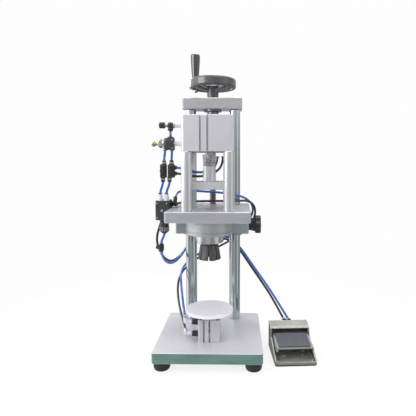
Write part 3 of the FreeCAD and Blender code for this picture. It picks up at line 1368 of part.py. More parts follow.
def build_pedal_housing():
    """Housing open at the front: floor, thin sloping side walls and a hood over the pivot and valve."""
    back = PEDAL_LENGTH / 2
    front = -back
    half = PEDAL_WIDTH / 2
    brow = PEDAL_HOOD_HEIGHT - PEDAL_HOOD_DROP
    body = side_profile([
        (front, PEDAL_SOLE), (front, PEDAL_FRONT_HEIGHT - 3.0), (front + 3.0, PEDAL_FRONT_HEIGHT),
        (PEDAL_HOOD_FRONT - 6.0, PEDAL_BACK_HEIGHT - 2.0), (PEDAL_HOOD_FRONT, brow - 4.0),
        (PEDAL_HOOD_FRONT + 6.0, brow), (back - 7.0, PEDAL_HOOD_HEIGHT),
        (back, PEDAL_HOOD_HEIGHT - 6.0), (back, PEDAL_SOLE),
    ], half)
    body = body.makeFillet(PEDAL_CORNER, upright_edges(body))
    inner = half - PEDAL_WALL
    tray_front = front + PEDAL_WALL
    tray_back = PEDAL_PIVOT_Y + PEDAL_PIVOT_SPACE
    open_back = PEDAL_HOOD_FRONT - PEDAL_HOOD_LIP
    tray = box(-inner, inner, tray_front, tray_back, PEDAL_FLOOR, brow - PEDAL_HOOD_WALL)
    open_top = box(-inner, inner, tray_front, open_back, PEDAL_FLOOR, PEDAL_HOOD_HEIGHT + OVERCUT)
    lip_top = PEDAL_FLOOR + PEDAL_LIP
    open_front = box(-inner, inner, front - OVERCUT, tray_front + OVERCUT, lip_top, PEDAL_HOOD_HEIGHT)
    pin_start = vec(-half - OVERCUT, PEDAL_PIVOT_Y, PEDAL_PIVOT_Z)
    pin_hole = cylinder(PEDAL_PIN_RADIUS + FIT_GAP, PEDAL_WIDTH + 2 * OVERCUT, pin_start, X_AXIS)
    slots = [floor_slot(x, y) for x, y in PEDAL_SLOT_PLACES]
    return pedal_place(cut_all(body, [tray, open_top, open_front, pin_hole] + slots))


def build_pedal_pin():
    """Pivot pin of the treadle, through both walls of the housing."""
    half = PEDAL_WIDTH / 2
    start = vec(PEDAL_PIN_SINK - half, PEDAL_PIVOT_Y, PEDAL_PIVOT_Z)
    pin = cylinder(PEDAL_PIN_RADIUS, PEDAL_WIDTH - 2 * PEDAL_PIN_SINK, start, X_AXIS)
    return pedal_place(pin)


def treadle_line():
    """Ends of the treadle plate's upper line in its own side view, and its slope."""
    rear = (PEDAL_PIVOT_Y, PEDAL_PIVOT_Z + PEDAL_PIN_RADIUS + 3.0)
    front = (TREADLE_FRONT_Y, TREADLE_FRONT_Z)
    slope = (rear[1] - front[1]) / (rear[0] - front[0])
    return front, rear, slope


def build_pedal_treadle():
    """Pressed lever: a plate with a flange down each side and the pivot ears at its back."""
    front, rear, slope = treadle_line()
    half = TREADLE_WIDTH / 2
    top = side_profile([
        (front[0], front[1] - TREADLE_THICK), front, rear, (rear[0], rear[1] - TREADLE_THICK),
    ], half)
    deep = front[1] - TREADLE_FLANGE
    wing = [
        (front[0], front[1]), (rear[0] + 5.0, rear[1]), (rear[0] + 5.0, PEDAL_PIVOT_Z - 5.0),
        (rear[0] - 6.0, PEDAL_PIVOT_Z - 7.0), (front[0] + 6.0, deep), (front[0], deep + 3.0),
    ]
    cheeks = []
    for side in (-1, 1):
        cheek = side_profile(wing, TREADLE_THICK / 2)
        cheek.translate(vec(side * (half - TREADLE_THICK / 2), 0, 0))
        cheeks.append(cheek)
    lever = fused([top] + cheeks)
    bore_start = vec(-half - OVERCUT, PEDAL_PIVOT_Y, PEDAL_PIVOT_Z)
    lever = lever.cut(cylinder(PEDAL_PIN_RADIUS + RUN_GAP, TREADLE_WIDTH + 2 * OVERCUT, bore_start, X_AXIS))
    return pedal_place(lever)


def build_pedal_pad():
    """Ribbed rubber pad on the treadle."""
    front, rear, slope = treadle_line()
    half = TREADLE_WIDTH / 2 - PAD_MARGIN
    y_front = front[0] + PAD_MARGIN
    y_back = PEDAL_HOOD_FRONT - 8.0
    z_front = front[1] + slope * (y_front - front[0])
    z_back = front[1] + slope * (y_back - front[0])
    pad = side_profile([
        (y_front, z_front), (y_front, z_front + PAD_THICK), (y_back, z_back + PAD_THICK), (y_back, z_back),
    ], half)
    return pedal_place(pad)


def build_pedal_fittings():
    """Two elbows at the back of the pedal, turned towards the machine."""
    turn = unit(PEDAL_PORT_TURN)
    wall = PEDAL_LENGTH / 2
    yaw = FreeCAD.Rotation(UP, PEDAL_YAW)
    out = yaw.multVec(BACK)
    fittings = []
    for x, y in PEDAL_PORTS:
        start = yaw.multVec(vec(x, wall, PEDAL_PORT_Z)) + vec(PEDAL_X, PEDAL_Y, 0)
        fittings.append(elbow(start, out, y - wall, turn, PEDAL_SOCKET, PEDAL_PORT_RADIUS))
    return fittings


def pedal_port_end(index):
    """Mouth of one of the pedal's elbows."""
    x, y = PEDAL_PORTS[index]
    yaw = FreeCAD.Rotation(UP, PEDAL_YAW)
    turn = unit(PEDAL_PORT_TURN)
    end = yaw.multVec(vec(x, y, PEDAL_PORT_Z)) + vec(PEDAL_X, PEDAL_Y, 0) + turn * PEDAL_SOCKET
    return (end.x, end.y, end.z)


# Routes of the air tubes, each a list of points from end to end
PORT_LINK = [(-91.5, -42, 546), (-91.5, -42, 530)]
LEFT_LINK = [(-105, -42, 500), (-105.4, -41.4, 493), (-108.6, -34.6, 481), (-109, -34, 474)]
RIGHT_LINK = [(-88.5, -42, 500), (-88.8, -41.4, 493), (-90.7, -34.6, 481), (-91, -34, 474)]
LEFT_FEED = [(-112, -34, 426), (-112.6, -33.5, 418), (-119.4, -28.5, 402), (-120, -28, 394)]
RIGHT_FEED = [(-96, -34, 426), (-96.6, -33.5, 418), (-104.4, -28.5, 402), (-105, -28, 394)]
PILOT_LINK = [(-114, -10, 297), (-114.7, -10, 289), (-121.3, -10, 278), (-122, -10, 270)]
REAR_BLUE = [
    (-80.5, -34, 458), (-66, -31, 457), (-50, -22, 451), (-32, -6, 446), (-14, 14, 447),
    (4, 28, 455), (15, 30.5, 470), (16, 30, 486),
]
REAR_BLACK = [
    (-80.5, -34, 444), (-66, -33, 443), (-50, -26, 439), (-30, -14, 436), (-8, 4, 438),
    (13, 22, 447), (28, 30, 463), (30, 30, 486),
]
PEDAL_BLACK = [
    (-124, 6, 325), (-129, 7, 310), (-136, 9, 290), (-138, 13, 266), (-132, 26, 240), (-122, 44, 217),
    (-108, 66, 206), (-91, 92, 215), (-78, 114, 234), (-56, 126, 250), (-24, 130, 259), (10, 130, 262),
    (42, 127, 255), (72, 118, 230), (102, 103, 188), (134, 86, 145), (163, 69, 104),
]
PEDAL_BLUE = [
    (-122, -10, 250), (-121, -6, 240), (-118, 4, 226), (-112, 22, 213), (-102, 46, 207), (-90, 72, 214),
    (-78, 96, 231), (-62, 114, 249), (-40, 122, 262), (-12, 124, 269), (20, 123, 269), (50, 119, 259),
    (78, 110, 232), (110, 95, 188), (143, 79, 145), (171, 64, 105),
]
LIFT_BLUE = [
    (-87, 9, 392), (-81, 22, 397), (-68, 34, 399), (-48, 41, 398), (-22, 45, 396), (8, 47, 394),
    (38, 50, 391), (66, 56, 386), (90, 72, 376), (106, 94, 360), (111, 118, 336), (100, 135, 310),
    (78, 144, 285),
    (46, 149, 262), (10, 150, 241), (-26, 144, 222), (-58, 130, 204), (-81, 107, 188), (-87, 76, 173),
    (-82, 45, 159), (-76, 17, 143), (-70, -8, 127), (-64, -30, 111),
]
LIFT_BLACK = [
    (-87, 31, 366), (-79, 42, 367), (-64, 47, 368), (-42, 46, 370), (-14, 43, 371), (16, 43, 371),
    (44, 46, 371), (72, 54, 371), (96, 68, 370), (112, 88, 356), (117, 111, 333), (110, 131, 307),
    (92, 142, 281),
    (62, 150, 257), (26, 155, 236), (-12, 152, 217), (-46, 140, 200), (-74, 118, 183), (-91, 88, 164),
    (-93, 58, 142), (-88, 34, 118), (-80, 14, 94), (-71, -1, 75), (-64.5, -12.5, 62.5),
]


def lift_route(index, middle):
    """A lifting cylinder's tube from the valve's elbow to the cylinder's."""
    return [valve_port_end(index)] + middle + [lift_port_end(index)]


def trimmed(solid, fittings):
    """A tube cut flush with the faces of the fittings that it ends in."""
    for fitting in fittings:
        if solid.BoundBox.intersect(fitting.BoundBox):
            solid = solid.cut(fitting)
    return max(solid.Solids, key=lambda piece: piece.Volume)


def build_tubes(fittings):
    """Every air tube, by node name, ended at the given fittings."""
    routes = {
        "head_tubes": [
            PORT_LINK, LEFT_LINK, RIGHT_LINK, LEFT_FEED, RIGHT_FEED, PILOT_LINK, REAR_BLUE, REAR_BLACK,
        ],
        "pedal_tube_blue": [PEDAL_BLUE + [pedal_port_end(1)]],
        "pedal_tube_black": [PEDAL_BLACK + [pedal_port_end(0)]],
        "lift_tube_blue": [lift_route(0, LIFT_BLUE)],
        "lift_tube_black": [lift_route(1, LIFT_BLACK)],
    }
    nodes = {}
    for name, lines in routes.items():
        nodes[name] = [trimmed(tube(line, TUBE_RADIUS, name), fittings) for line in lines]
    return nodes


FITTING_NODES = (
    "lift_fittings", "pedal_fittings", "port_fittings", "inlet_block", "flow_controls",
    "valve_body", "valve_fittings", "coupling_nut", "inline_fitting",
)


def build_nodes():
    """Every sub-part of the machine, by node name."""
    left_post, right_post = post_centres(BASE_TOP)
    columns = standoff_centres(MID_PLATE_TOP)
    nodes = {
        "base_plate": build_base_plate(),
        "rubber_feet": build_rubber_feet() + [build_pedal_sole()],
        "post_left": build_post(left_post),
        "post_right": build_post(right_post),
        "frame_screws": build_frame_screws(),
        "top_plate": build_top_plate(),
        "screw_bearing": build_screw_bearing(),
        "lift_barrel": build_lift_barrel(),
        "lift_fittings": build_lift_fittings(),
        "pedal_housing": build_pedal_housing(),
        "pedal_pin": build_pedal_pin(),
        "pedal_fittings": build_pedal_fittings(),
        "lead_screw": build_lead_screw(),
        "handwheel": build_handwheel(),
        "wheel_fasteners": build_wheel_fasteners(),
        "handle_grip": build_handle_grip(),
        "mid_plate": build_mid_plate(),
        "slide_block": build_slide_block(),
        "slide_bushes": build_slide_bushes(),
        "lead_nut": build_lead_nut(),
        "standoffs_front": build_standoffs(columns[:2]),
        "standoffs_rear": build_standoffs(columns[2:]),
        "head_barrel": build_head_barrel(),
        "rod_cover": build_rod_cover(),
        "head_screws": build_head_screws(),
        "flange_housing": build_flange_housing(),
        "jaw_carrier": build_jaw_carrier(),
        "port_fittings": build_port_fittings(),
        "inlet_block": build_inlet_block(),
        "quick_plug": build_quick_plug(),
        "flow_controls": build_flow_controls(),
        "valve_body": build_valve_body(),
        "valve_fittings": build_valve_fittings(),
        "coupling_nut": build_coupling_nut(),
        "inline_fitting": build_inline_fitting(),
        "clamp_knob": build_clamp_knob(),
        "head_piston": build_head_piston(),
        "head_rod": build_head_rod(),
        "rod_coupling": build_rod_coupling(),
        "drive_shaft": build_drive_shaft(),
        "yoke_plate": build_yoke_plate(),
        "push_rods": build_push_rods(),
        "closing_sleeve": build_closing_sleeve(),
        "lift_rod": build_lift_rod(),
        "platform": build_platform(),
        "pedal_treadle": build_pedal_treadle(),
        "pedal_pad": build_pedal_pad(),
    }
    for index, jaw in enumerate(build_jaws(), start=1):
        nodes["jaw_%d" % index] = jaw
    fittings = []
    for name in FITTING_NODES:
        fittings += nodes[name] if isinstance(nodes[name], list) else [nodes[name]]
    nodes.update(build_tubes(fittings))
    return nodes


os.makedirs("parts", exist_ok=True)
for name, shape in build_nodes().items():
    if isinstance(shape, list):
        shape = Part.makeCompound(shape)
    shape.exportStep("parts/%s.step" % name)
    print(name, "solids", len(shape.Solids), "valid", shape.isValid(), "volume %.0f" % shape.Volume)
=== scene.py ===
"""Looks of a pneumatic bench capping machine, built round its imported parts. Metres; the front is -Y."""

import math

import bmesh
import bpy
from mathutils import Matrix, Vector


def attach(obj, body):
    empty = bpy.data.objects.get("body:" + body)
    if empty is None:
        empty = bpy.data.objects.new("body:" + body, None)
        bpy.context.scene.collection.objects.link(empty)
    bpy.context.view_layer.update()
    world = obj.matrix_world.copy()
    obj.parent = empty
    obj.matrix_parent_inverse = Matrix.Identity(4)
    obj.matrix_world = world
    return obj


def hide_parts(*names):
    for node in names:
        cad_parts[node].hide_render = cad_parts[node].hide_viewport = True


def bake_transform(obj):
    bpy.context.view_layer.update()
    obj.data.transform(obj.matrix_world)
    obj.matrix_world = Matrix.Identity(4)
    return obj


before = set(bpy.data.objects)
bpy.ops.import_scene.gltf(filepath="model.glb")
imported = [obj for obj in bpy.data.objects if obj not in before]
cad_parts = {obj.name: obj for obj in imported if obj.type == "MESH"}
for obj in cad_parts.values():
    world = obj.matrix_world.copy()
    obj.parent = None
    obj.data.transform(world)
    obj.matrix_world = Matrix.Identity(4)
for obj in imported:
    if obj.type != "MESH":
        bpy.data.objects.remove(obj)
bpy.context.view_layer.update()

# Pieces and routes are drawn in millimetres
MM = 0.001

# Axes that the machine is built on, and directions
PROCESS_Y = -42
POST_Y = 90
UP, DOWN, LEFT, RIGHT, FRONT = (0, 0, 1), (0, 0, -1), (-1, 0, 0), (1, 0, 0), (0, -1, 0)

# Air tubes, in metres
TUBE_DIAMETER = 0.006
TUBE_SIDES = 20
TUBE_STEPS_PER_SPAN = 10
TUBE_LENGTH_PER_UV = 0.02

# Rounding of edges, levels of noise that make clouds, and wear, in every finish
BEVEL_SAMPLES = 4
CLOUD = (0.35, 0.65)
GLOSS_CLOUD = (0.3, 0.7)
EDGE_BEND = (0.98, 0.80)
WEAR_PATCH_SCALE = 220
WEAR_PATCH = (0.40, 0.60)


def srgb(red, green, blue):
    """A colour as a painter reads it, 0 to 255, in linear light."""
    def channel(value):
        share = value / 255
        return share / 12.92 if share <= 0.04045 else ((share + 0.055) / 1.055) ** 2.4

    return (channel(red), channel(green), channel(blue), 1.0)


def shade(colour, factor):
    """A colour made lighter or darker."""
    return tuple(min(c * factor, 1.0) for c in colour[:3]) + (1.0,)


def add_node(tree, kind, inputs=(), **settings):
    """The outputs of a new node, with its settings made and its inputs linked or filled."""
    made = tree.nodes.new(kind)
    for key, value in settings.items():
        setattr(made, key, value)
    for key, value in dict(inputs).items():
        if isinstance(value, bpy.types.NodeSocket):
            tree.links.new(value, made.inputs[key])
        else:
            made.inputs[key].default_value = value
    return made.outputs


class Finish:
    """A material's node graph round one Principled shader, in Object coordinates."""

    def __init__(self, name, colour, roughness, metallic=0.0):
        self.material = bpy.data.materials.new(name)
        self.material.use_nodes = True
        self.tree = self.material.node_tree
        self.shader = self.tree.nodes["Principled BSDF"]
        self.shader.inputs["Metallic"].default_value = metallic
        self.place = self.node("TexCoord")["Object"]
        self.colour = colour
        self.roughness = roughness
        self.normal = None

    def node(self, kind, inputs=(), **settings):
        return add_node(self.tree, "ShaderNode" + kind, inputs, **settings)

    def maths(self, kind, *values):
        return self.node("Math", dict(enumerate(values)), operation=kind)[0]

    def set(self, **sockets):
        """Plain values on the shader's own sockets, with spaces written as underscores."""
        for name, value in sockets.items():
            self.shader.inputs[name.replace("_", " ")].default_value = value
        return self

    def noise(self, scale, detail=3.0, stretch=(1, 1, 1)):
        spot = self.node("Mapping", {"Vector": self.place, "Scale": stretch})[0]
        return self.node("TexNoise", {"Vector": spot, "Scale": scale, "Detail": detail})[0]

    def levels(self, value, low, high, to_low=0.0, to_high=1.0):
        inputs = {"Value": value, "From Min": low, "From Max": high, "To Min": to_low, "To Max": to_high}
        return self.node("MapRange", inputs)[0]

    def mixed(self, amount, first, second):
        """Between two colours by an amount from 0 to 1."""
        return self.node("Mix", {0: amount, 6: first, 7: second}, data_type="RGBA")[2]

    def cloudy(self, first, second, scale, detail=4.0, stretch=(1, 1, 1)):
        """Drifts between two colours in clouds."""
        return self.mixed(self.levels(self.noise(scale, detail, stretch), *CLOUD), first, second)

    def mottle(self, scale, amount, detail=4.0, stretch=(1, 1, 1)):
        """Cloudy change of the plain colour's tone over the surface."""
        darker, lighter = shade(self.colour, 1 - amount), shade(self.colour, 1 + amount)
        self.colour = self.cloudy(darker, lighter, scale, detail, stretch)
        return self

    def tinted(self, amount, colour):
        """Another colour over the present one where the amount says."""
        self.colour = self.mixed(amount, self.colour, colour)
        return self

    def uneven_gloss(self, scale, spread, stretch=(1, 1, 1)):
        """Roughness that drifts by a spread either side."""
        cloud = self.noise(scale, 4.0, stretch)
        self.roughness = self.levels(cloud, *GLOSS_CLOUD, self.roughness - spread, self.roughness + spread)
        return self

    def upright(self, level=0.6, standing=0.3):
        """1 on faces that stand up, 0 on level ones."""
        normal = self.node("NewGeometry")["Normal"]
        rise = self.node("SeparateXYZ", {0: normal})[2]
        return self.levels(self.maths("ABSOLUTE", rise), level, standing)

    def relief(self, height, depth):
        """Raises the surface by a height map of that depth in metres."""
        inputs = {"Height": height, "Distance": depth, "Strength": 1.0}
        if self.normal is not None:
            inputs["Normal"] = self.normal
        self.normal = self.node("Bump", inputs)[0]
        return self

    def grain(self, scale, depth, stretch=(1, 1, 1), detail=2.0):
        """Fine relief, drawn out where it is stretched."""
        return self.relief(self.noise(scale, detail, stretch), depth)

    def rounded(self, width):
        """The surface's direction as if its edges were rounded."""
        return self.node("Bevel", {"Radius": width}, samples=BEVEL_SAMPLES)[0]

    def soft_edges(self, width):
        """Rounds every sharp edge in the shading."""
        self.normal = self.rounded(width)
        return self

    def worn_edges(self, width, colour, strength):
        """Lighter or darker rubbed edges, patchy along their length."""
        flat = self.node("NewGeometry")["Normal"]
        inputs = {0: self.rounded(width), 1: flat}
        agreement = self.node("VectorMath", inputs, operation="DOT_PRODUCT")["Value"]
        edge = self.levels(agreement, *EDGE_BEND, 0.0, strength)
        patch = self.levels(self.noise(WEAR_PATCH_SCALE), *WEAR_PATCH)
        return self.tinted(self.maths("MULTIPLY", edge, patch), colour)

    def done(self):
        """Links what was built up and gives the material."""
        built = {"Base Color": self.colour, "Roughness": self.roughness, "Normal": self.normal}
        for name, value in built.items():
            if isinstance(value, bpy.types.NodeSocket):
                self.tree.links.new(value, self.shader.inputs[name])
            elif value is not None:
                self.shader.inputs[name].default_value = value
        return self.material


def anodised(name, colour, side=None, roughness=0.40):
    """Clear anodised aluminium with the faint lines of its milling; its upright faces may take a painted
    shade, darker or lighter than the top.
    """
    look = Finish(name, colour, roughness, metallic=0.55).soft_edges(0.0006).mottle(14, 0.02)
    # A side colour is painted light and shade on upright faces: a tone set apart from the top's by how
    # light falls on them
    if side is not None:
        cloud = look.cloudy(shade(side, 0.96), shade(side, 1.04), 30, stretch=(1, 1, 3))
        look.tinted(look.upright(), cloud)
    look.worn_edges(0.0005, srgb(240, 240, 244), 0.5)
    look.uneven_gloss(60, 0.04).grain(2600, 0.000006, (0.02, 1, 1)).grain(900, 0.000006)
    return look.done()


def base_finish():
    """The base plate: pale anodised top, and grey-green sides that are a painted reflection of green
    surroundings.
    """
    look = Finish("base_finish", srgb(212, 210, 218), 0.42, metallic=0.35).soft_edges(0.0006)
    look.mottle(10, 0.02)
    # Painted reflection: grey-green clouds on the upright sides stand for green surroundings mirrored there
    cloud = look.cloudy(srgb(100, 132, 128), srgb(112, 147, 141), 18, stretch=(1, 1, 3))
    look.tinted(look.upright(), cloud)
    look.worn_edges(0.0007, srgb(232, 236, 238), 0.7)
    look.uneven_gloss(40, 0.05).grain(1800, 0.000008, (0.03, 1, 1)).grain(700, 0.000008)
    return look.done()


def extruded(name, colour):
    """Drawn aluminium tube: fine lines along Z."""
    look = Finish(name, colour, 0.36, metallic=0.6).soft_edges(0.0005).mottle(12, 0.03)
    look.worn_edges(0.0005, srgb(242, 242, 246), 0.5)
    look.uneven_gloss(50, 0.05, (1, 1, 0.1)).grain(2200, 0.00001, (1, 1, 0.01))
    return look.done()


def polished(name, colour, roughness, rings=0.0):
    """Bright steel, with turning marks along Z where rings are given their depth."""
    look = Finish(name, colour, roughness, metallic=1.0).soft_edges(0.0003).mottle(30, 0.02)
    look.uneven_gloss(90, roughness * 0.12, (1, 1, 0.2))
    if rings:
        look.grain(5200, rings, (0.01, 0.01, 1))
    return look.done()


def blackened(name, colour, worn, roughness=0.42):
    """Blackened steel, rubbed bright at its edges."""
    look = Finish(name, colour, roughness, metallic=0.85).soft_edges(0.0003)
    look.mottle(160, 0.25, 5.0, (1, 1, 0.25))
    look.worn_edges(0.0006, worn, 0.9).uneven_gloss(240, 0.1).grain(1400, 0.00002)
    return look.done()


def moulded(name, colour, roughness=0.42, depth=0.00002, edge=None, coat=0.0, cloud=0.08, ior=1.49):
    """Moulded plastic or rubber with a fine skin."""
    look = Finish(name, colour, roughness).soft_edges(0.0005).mottle(90, cloud)
    if edge is not None:
        look.worn_edges(0.0006, edge, 0.5)
    look.uneven_gloss(140, 0.06).grain(1500, depth)
    look.set(Coat_Weight=coat, Coat_Roughness=0.15, IOR=ior)
    return look.done()


def cast_finish():
    """Die-cast housing: grey-beige, with a cast skin, and painted shade on its upright faces, darker down
    in the tray.
    """
    look = Finish("cast_finish", srgb(176, 176, 170), 0.5, metallic=0.45).soft_edges(0.001)
    # Upright faces take a darker grey as painted shade
    look.mottle(45, 0.10, 5.0).tinted(look.upright(0.88, 0.62), srgb(132, 134, 130))
    look.worn_edges(0.001, srgb(214, 214, 208), 0.6)
    look.uneven_gloss(120, 0.08).grain(650, 0.00006).grain(2400, 0.00002)
    return look.done()


def air_tube(name, colour, shine):
    """Polyurethane tube: drawn lines along it and a soft gloss, in its own length and turn."""
    look = Finish(name, colour, 0.2)
    look.place = look.node("UVMap", uv_map="along")[0]
    look.mottle(3.0, 0.10, 3.0).grain(40, 0.00003, (0.02, 1, 1))
    look.uneven_gloss(5, 0.05)
    look.set(Coat_Weight=shine, Coat_Roughness=0.12, IOR=1.5)
    return look.done()


# Colour first, then what each kind of finish asks for, such as roughness and a depth of relief in metres
# The side colours below are painted shade on upright faces: darker than the top on the plates, lighter than
# it on the yoke
PLATE = anodised("plate_grey", srgb(202, 201, 208), side=srgb(176, 175, 180))
HEAD_PLATE = anodised("head_plate_grey", srgb(204, 202, 210), side=srgb(172, 174, 180))
YOKE = anodised("yoke_grey", srgb(204, 205, 208), side=srgb(210, 212, 214), roughness=0.48)
BLOCK = anodised("block_grey", srgb(152, 166, 168))
HOUSING = polished("housing_grey", srgb(196, 200, 202), 0.48, 0.000002)
BASE = base_finish()
DRAWN = extruded("drawn_aluminium", srgb(208, 207, 214))
COLUMN = polished("column_satin", srgb(232, 233, 238), 0.34, 0.000001)
CHROME = polished("chrome", srgb(196, 204, 206), 0.16)
TURNED = polished("turned_steel", srgb(198, 200, 204), 0.22, 0.000008)
SLEEVE = polished("sleeve_bright", srgb(216, 218, 220), 0.1)
NICKEL = polished("nickel", srgb(196, 194, 190), 0.2)
BRASS = polished("brass_nickel", srgb(204, 192, 166), 0.26, 0.000004)
BRONZE = polished("bronze", srgb(146, 124, 96), 0.38, 0.000006)
DARK_STEEL = blackened("collet_steel", srgb(96, 94, 94), srgb(160, 160, 160))
SCREW_STEEL = blackened("screw_steel", srgb(120, 118, 126), srgb(176, 174, 182), 0.3)
MOTTLED_STEEL = blackened("mottled_steel", srgb(176, 176, 180), srgb(226, 226, 230), 0.32)
BLACK_SCREW = blackened("black_screw", srgb(44, 45, 48), srgb(110, 110, 112), 0.36)
WHEEL_BLACK = moulded("wheel_black", srgb(50, 51, 56), 0.34, 0.000008, srgb(120, 121, 126), 0.4, ior=1.85)
GRIP_BLACK = moulded("grip_black", srgb(32, 34, 44), 0.16, 0.0000001, None, 0.6, ior=1.8)
VALVE_BLACK = moulded("valve_black", srgb(52, 54, 55), 0.48, 0.00004, srgb(96, 98, 98))
NYLON_BLACK = moulded("nylon_black", srgb(40, 42, 44), 0.38, 0.00002, srgb(84, 86, 88))
NYLON_WHITE = moulded("nylon_white", srgb(214, 212, 224), 0.4, 0.00001)
# Ribs: a grey that is partly their own and partly painted highlight, with near-white rubbed edges that are
# a painted highlight
RIB_GREY = moulded("rib_grey", srgb(138, 140, 145), 0.26, 0.00001, srgb(214, 216, 220))
RUBBER = moulded("foot_rubber", srgb(34, 42, 42), 0.6, 0.00006, srgb(62, 72, 72))
PAD = moulded("pad_rubber", srgb(92, 95, 102), 0.55, 0.00005, srgb(120, 122, 128))
CAST = cast_finish()
PRESSED = polished("pressed_steel", srgb(214, 216, 212), 0.34)
PLATFORM = moulded("platform_white", srgb(226, 225, 233), 0.4, 0.000004, srgb(242, 242, 246), 0.3, 0.02)
BLUE_TUBE = air_tube("blue_tube", srgb(40, 96, 186), 1.0)
BLACK_TUBE = air_tube("black_tube", srgb(28, 30, 34), 0.8)

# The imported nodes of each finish; tubes are left out, because pieces of the scene replace them
NODES_OF = (
    (BASE, "base_plate"),
    (RUBBER, "rubber_feet"),
    (CHROME, "post_left post_right head_rod push_rods lift_rod"),
    (BLACK_SCREW, "frame_screws head_screws"),
    (PLATE, "top_plate rod_cover head_piston"),
    (SCREW_STEEL, "screw_bearing"),
    (DRAWN, "lift_barrel head_barrel"),
    (NYLON_BLACK, "lift_fittings pedal_fittings coupling_nut inline_fitting clamp_knob"),
    (CAST, "pedal_housing"),
    (TURNED, "pedal_pin lead_screw jaw_carrier"),
    (WHEEL_BLACK, "handwheel"),
    (NICKEL, "wheel_fasteners port_fittings"),
    (GRIP_BLACK, "handle_grip"),
    (HEAD_PLATE, "mid_plate"),
    (BLOCK, "slide_block"),
    (BRONZE, "slide_bushes lead_nut"),
    (COLUMN, "standoffs_front standoffs_rear drive_shaft"),
    (HOUSING, "flange_housing"),
    (VALVE_BLACK, "inlet_block flow_controls valve_body"),
    (BRASS, "quick_plug"),
    (NYLON_WHITE, "valve_fittings"),
    (MOTTLED_STEEL, "rod_coupling"),
    (YOKE, "yoke_plate"),
    (SLEEVE, "closing_sleeve"),
    (PLATFORM, "platform"),
    (PRESSED, "pedal_treadle"),
    (PAD, "pedal_pad"),
    (DARK_STEEL, "jaw_1 jaw_2 jaw_3 jaw_4 jaw_5 jaw_6 jaw_7 jaw_8"),
)
NODE_LOOKS = {name: look for look, names in NODES_OF for name in names.split()}


def dress_cad_nodes():
    """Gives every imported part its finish."""
    for name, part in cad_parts.items():
        part.data.materials.clear()
        part.data.materials.append(NODE_LOOKS.get(name, VALVE_BLACK))


# Short links between two fittings, too short to be cords, in millimetres
SHORT_LINKS = {
    "port_link": [(-91.5, -42, 546), (-91.5, -42, 538), (-91.5, -42, 530)],
    "left_link": [(-105, -42, 500), (-105.4, -41.4, 493), (-108.6, -34.6, 481), (-109, -34, 474)],
    "right_link": [(-88.5, -42, 500), (-88.8, -41.4, 493), (-90.7, -34.6, 481), (-91, -34, 474)],
    "left_feed": [(-112, -34, 426), (-112.6, -33.5, 418), (-119.4, -28.5, 402), (-120, -28, 394)],
    "right_feed": [(-96, -34, 426), (-96.6, -33.5, 418), (-104.4, -28.5, 402), (-105, -28, 394)],
    "pilot_link": [(-114, -10, 297), (-114.7, -10, 289), (-121.3, -10, 278), (-122, -10, 270)],
}

# Routes of the longer air tubes, in millimetres
REAR_BLUE = [
    (-80.5, -34, 458), (-66, -31, 457), (-50, -22, 451), (-32, -6, 446), (-14, 14, 447), (4, 28, 455),
    (15, 30.5, 470), (16, 30, 486),
]
REAR_BLACK = [
    (-80.5, -34, 444), (-66, -33, 443), (-50, -26, 439), (-30, -14, 436), (-8, 4, 438), (13, 22, 447),
    (28, 30, 463), (30, 30, 486),
]
PEDAL_BLACK = [
    (-124, 6, 325), (-129, 7, 310), (-136, 9, 290), (-138, 13, 266), (-132, 26, 240), (-122, 44, 217),
    (-108, 66, 206), (-91, 92, 215), (-78, 114, 234), (-56, 126, 250), (-24, 130, 259), (10, 130, 262),
    (42, 127, 255), (72, 118, 230), (102, 103, 188), (134, 86, 145), (163, 69, 104), (187.6, 40, 62.3),
]
PEDAL_BLUE = [
    (-122, -10, 250), (-121, -6, 240), (-118, 4, 226), (-112, 22, 213), (-102, 46, 207), (-90, 72, 214),
    (-78, 96, 231), (-62, 114, 249), (-40, 122, 262), (-12, 124, 269), (20, 123, 269), (50, 119, 259),
    (78, 110, 232), (110, 95, 188), (143, 79, 145), (171, 64, 105), (199.6, 40.8, 62.3),
]
LIFT_BLUE = [
    (-88, 0.4, 382.2), (-87, 9, 392), (-81, 22, 397), (-68, 34, 399), (-48, 41, 398), (-22, 45, 396),
    (8, 47, 394), (38, 50, 391), (66, 56, 386), (90, 72, 376), (106, 94, 360), (111, 118, 336),
    (100, 135, 310), (78, 144, 285), (46, 149, 262), (10, 150, 241), (-26, 144, 222), (-58, 130, 204),
    (-81, 107, 188), (-87, 76, 173), (-82, 45, 159), (-76, 17, 143), (-70, -8, 127), (-64, -30, 111),
    (-60.6, -38.1, 97.1),
]
LIFT_BLACK = [
    (-88, 20, 366), (-87, 31, 366), (-79, 42, 367), (-64, 47, 368), (-42, 46, 370), (-14, 43, 371),
    (16, 43, 371), (44, 46, 371), (72, 54, 371), (96, 68, 370), (112, 88, 356), (117, 111, 333),
    (110, 131, 307), (92, 142, 281), (62, 150, 257), (26, 155, 236), (-12, 152, 217), (-46, 140, 200),
    (-74, 118, 183), (-91, 88, 164), (-93, 58, 142), (-88, 34, 118), (-80, 14, 94), (-71, -1, 75),
    (-64.5, -12.5, 62.5), (-60.6, -29.5, 58.6),
]

# Name, route, finish and a cord's length in metres
TUBES = [(name, route, BLUE_TUBE, None) for name, route in SHORT_LINKS.items()] + [
    ("rear_tube_blue", REAR_BLUE, BLUE_TUBE, 0.143),
    ("rear_tube_black", REAR_BLACK, BLACK_TUBE, 0.158),
    ("pedal_line_black", PEDAL_BLACK, BLACK_TUBE, 0.600),
    ("pedal_line_blue", PEDAL_BLUE, BLUE_TUBE, 0.547),
    ("lift_line_blue", LIFT_BLUE, BLUE_TUBE, 0.717),
    ("lift_line_black", LIFT_BLACK, BLACK_TUBE, 0.738),
]

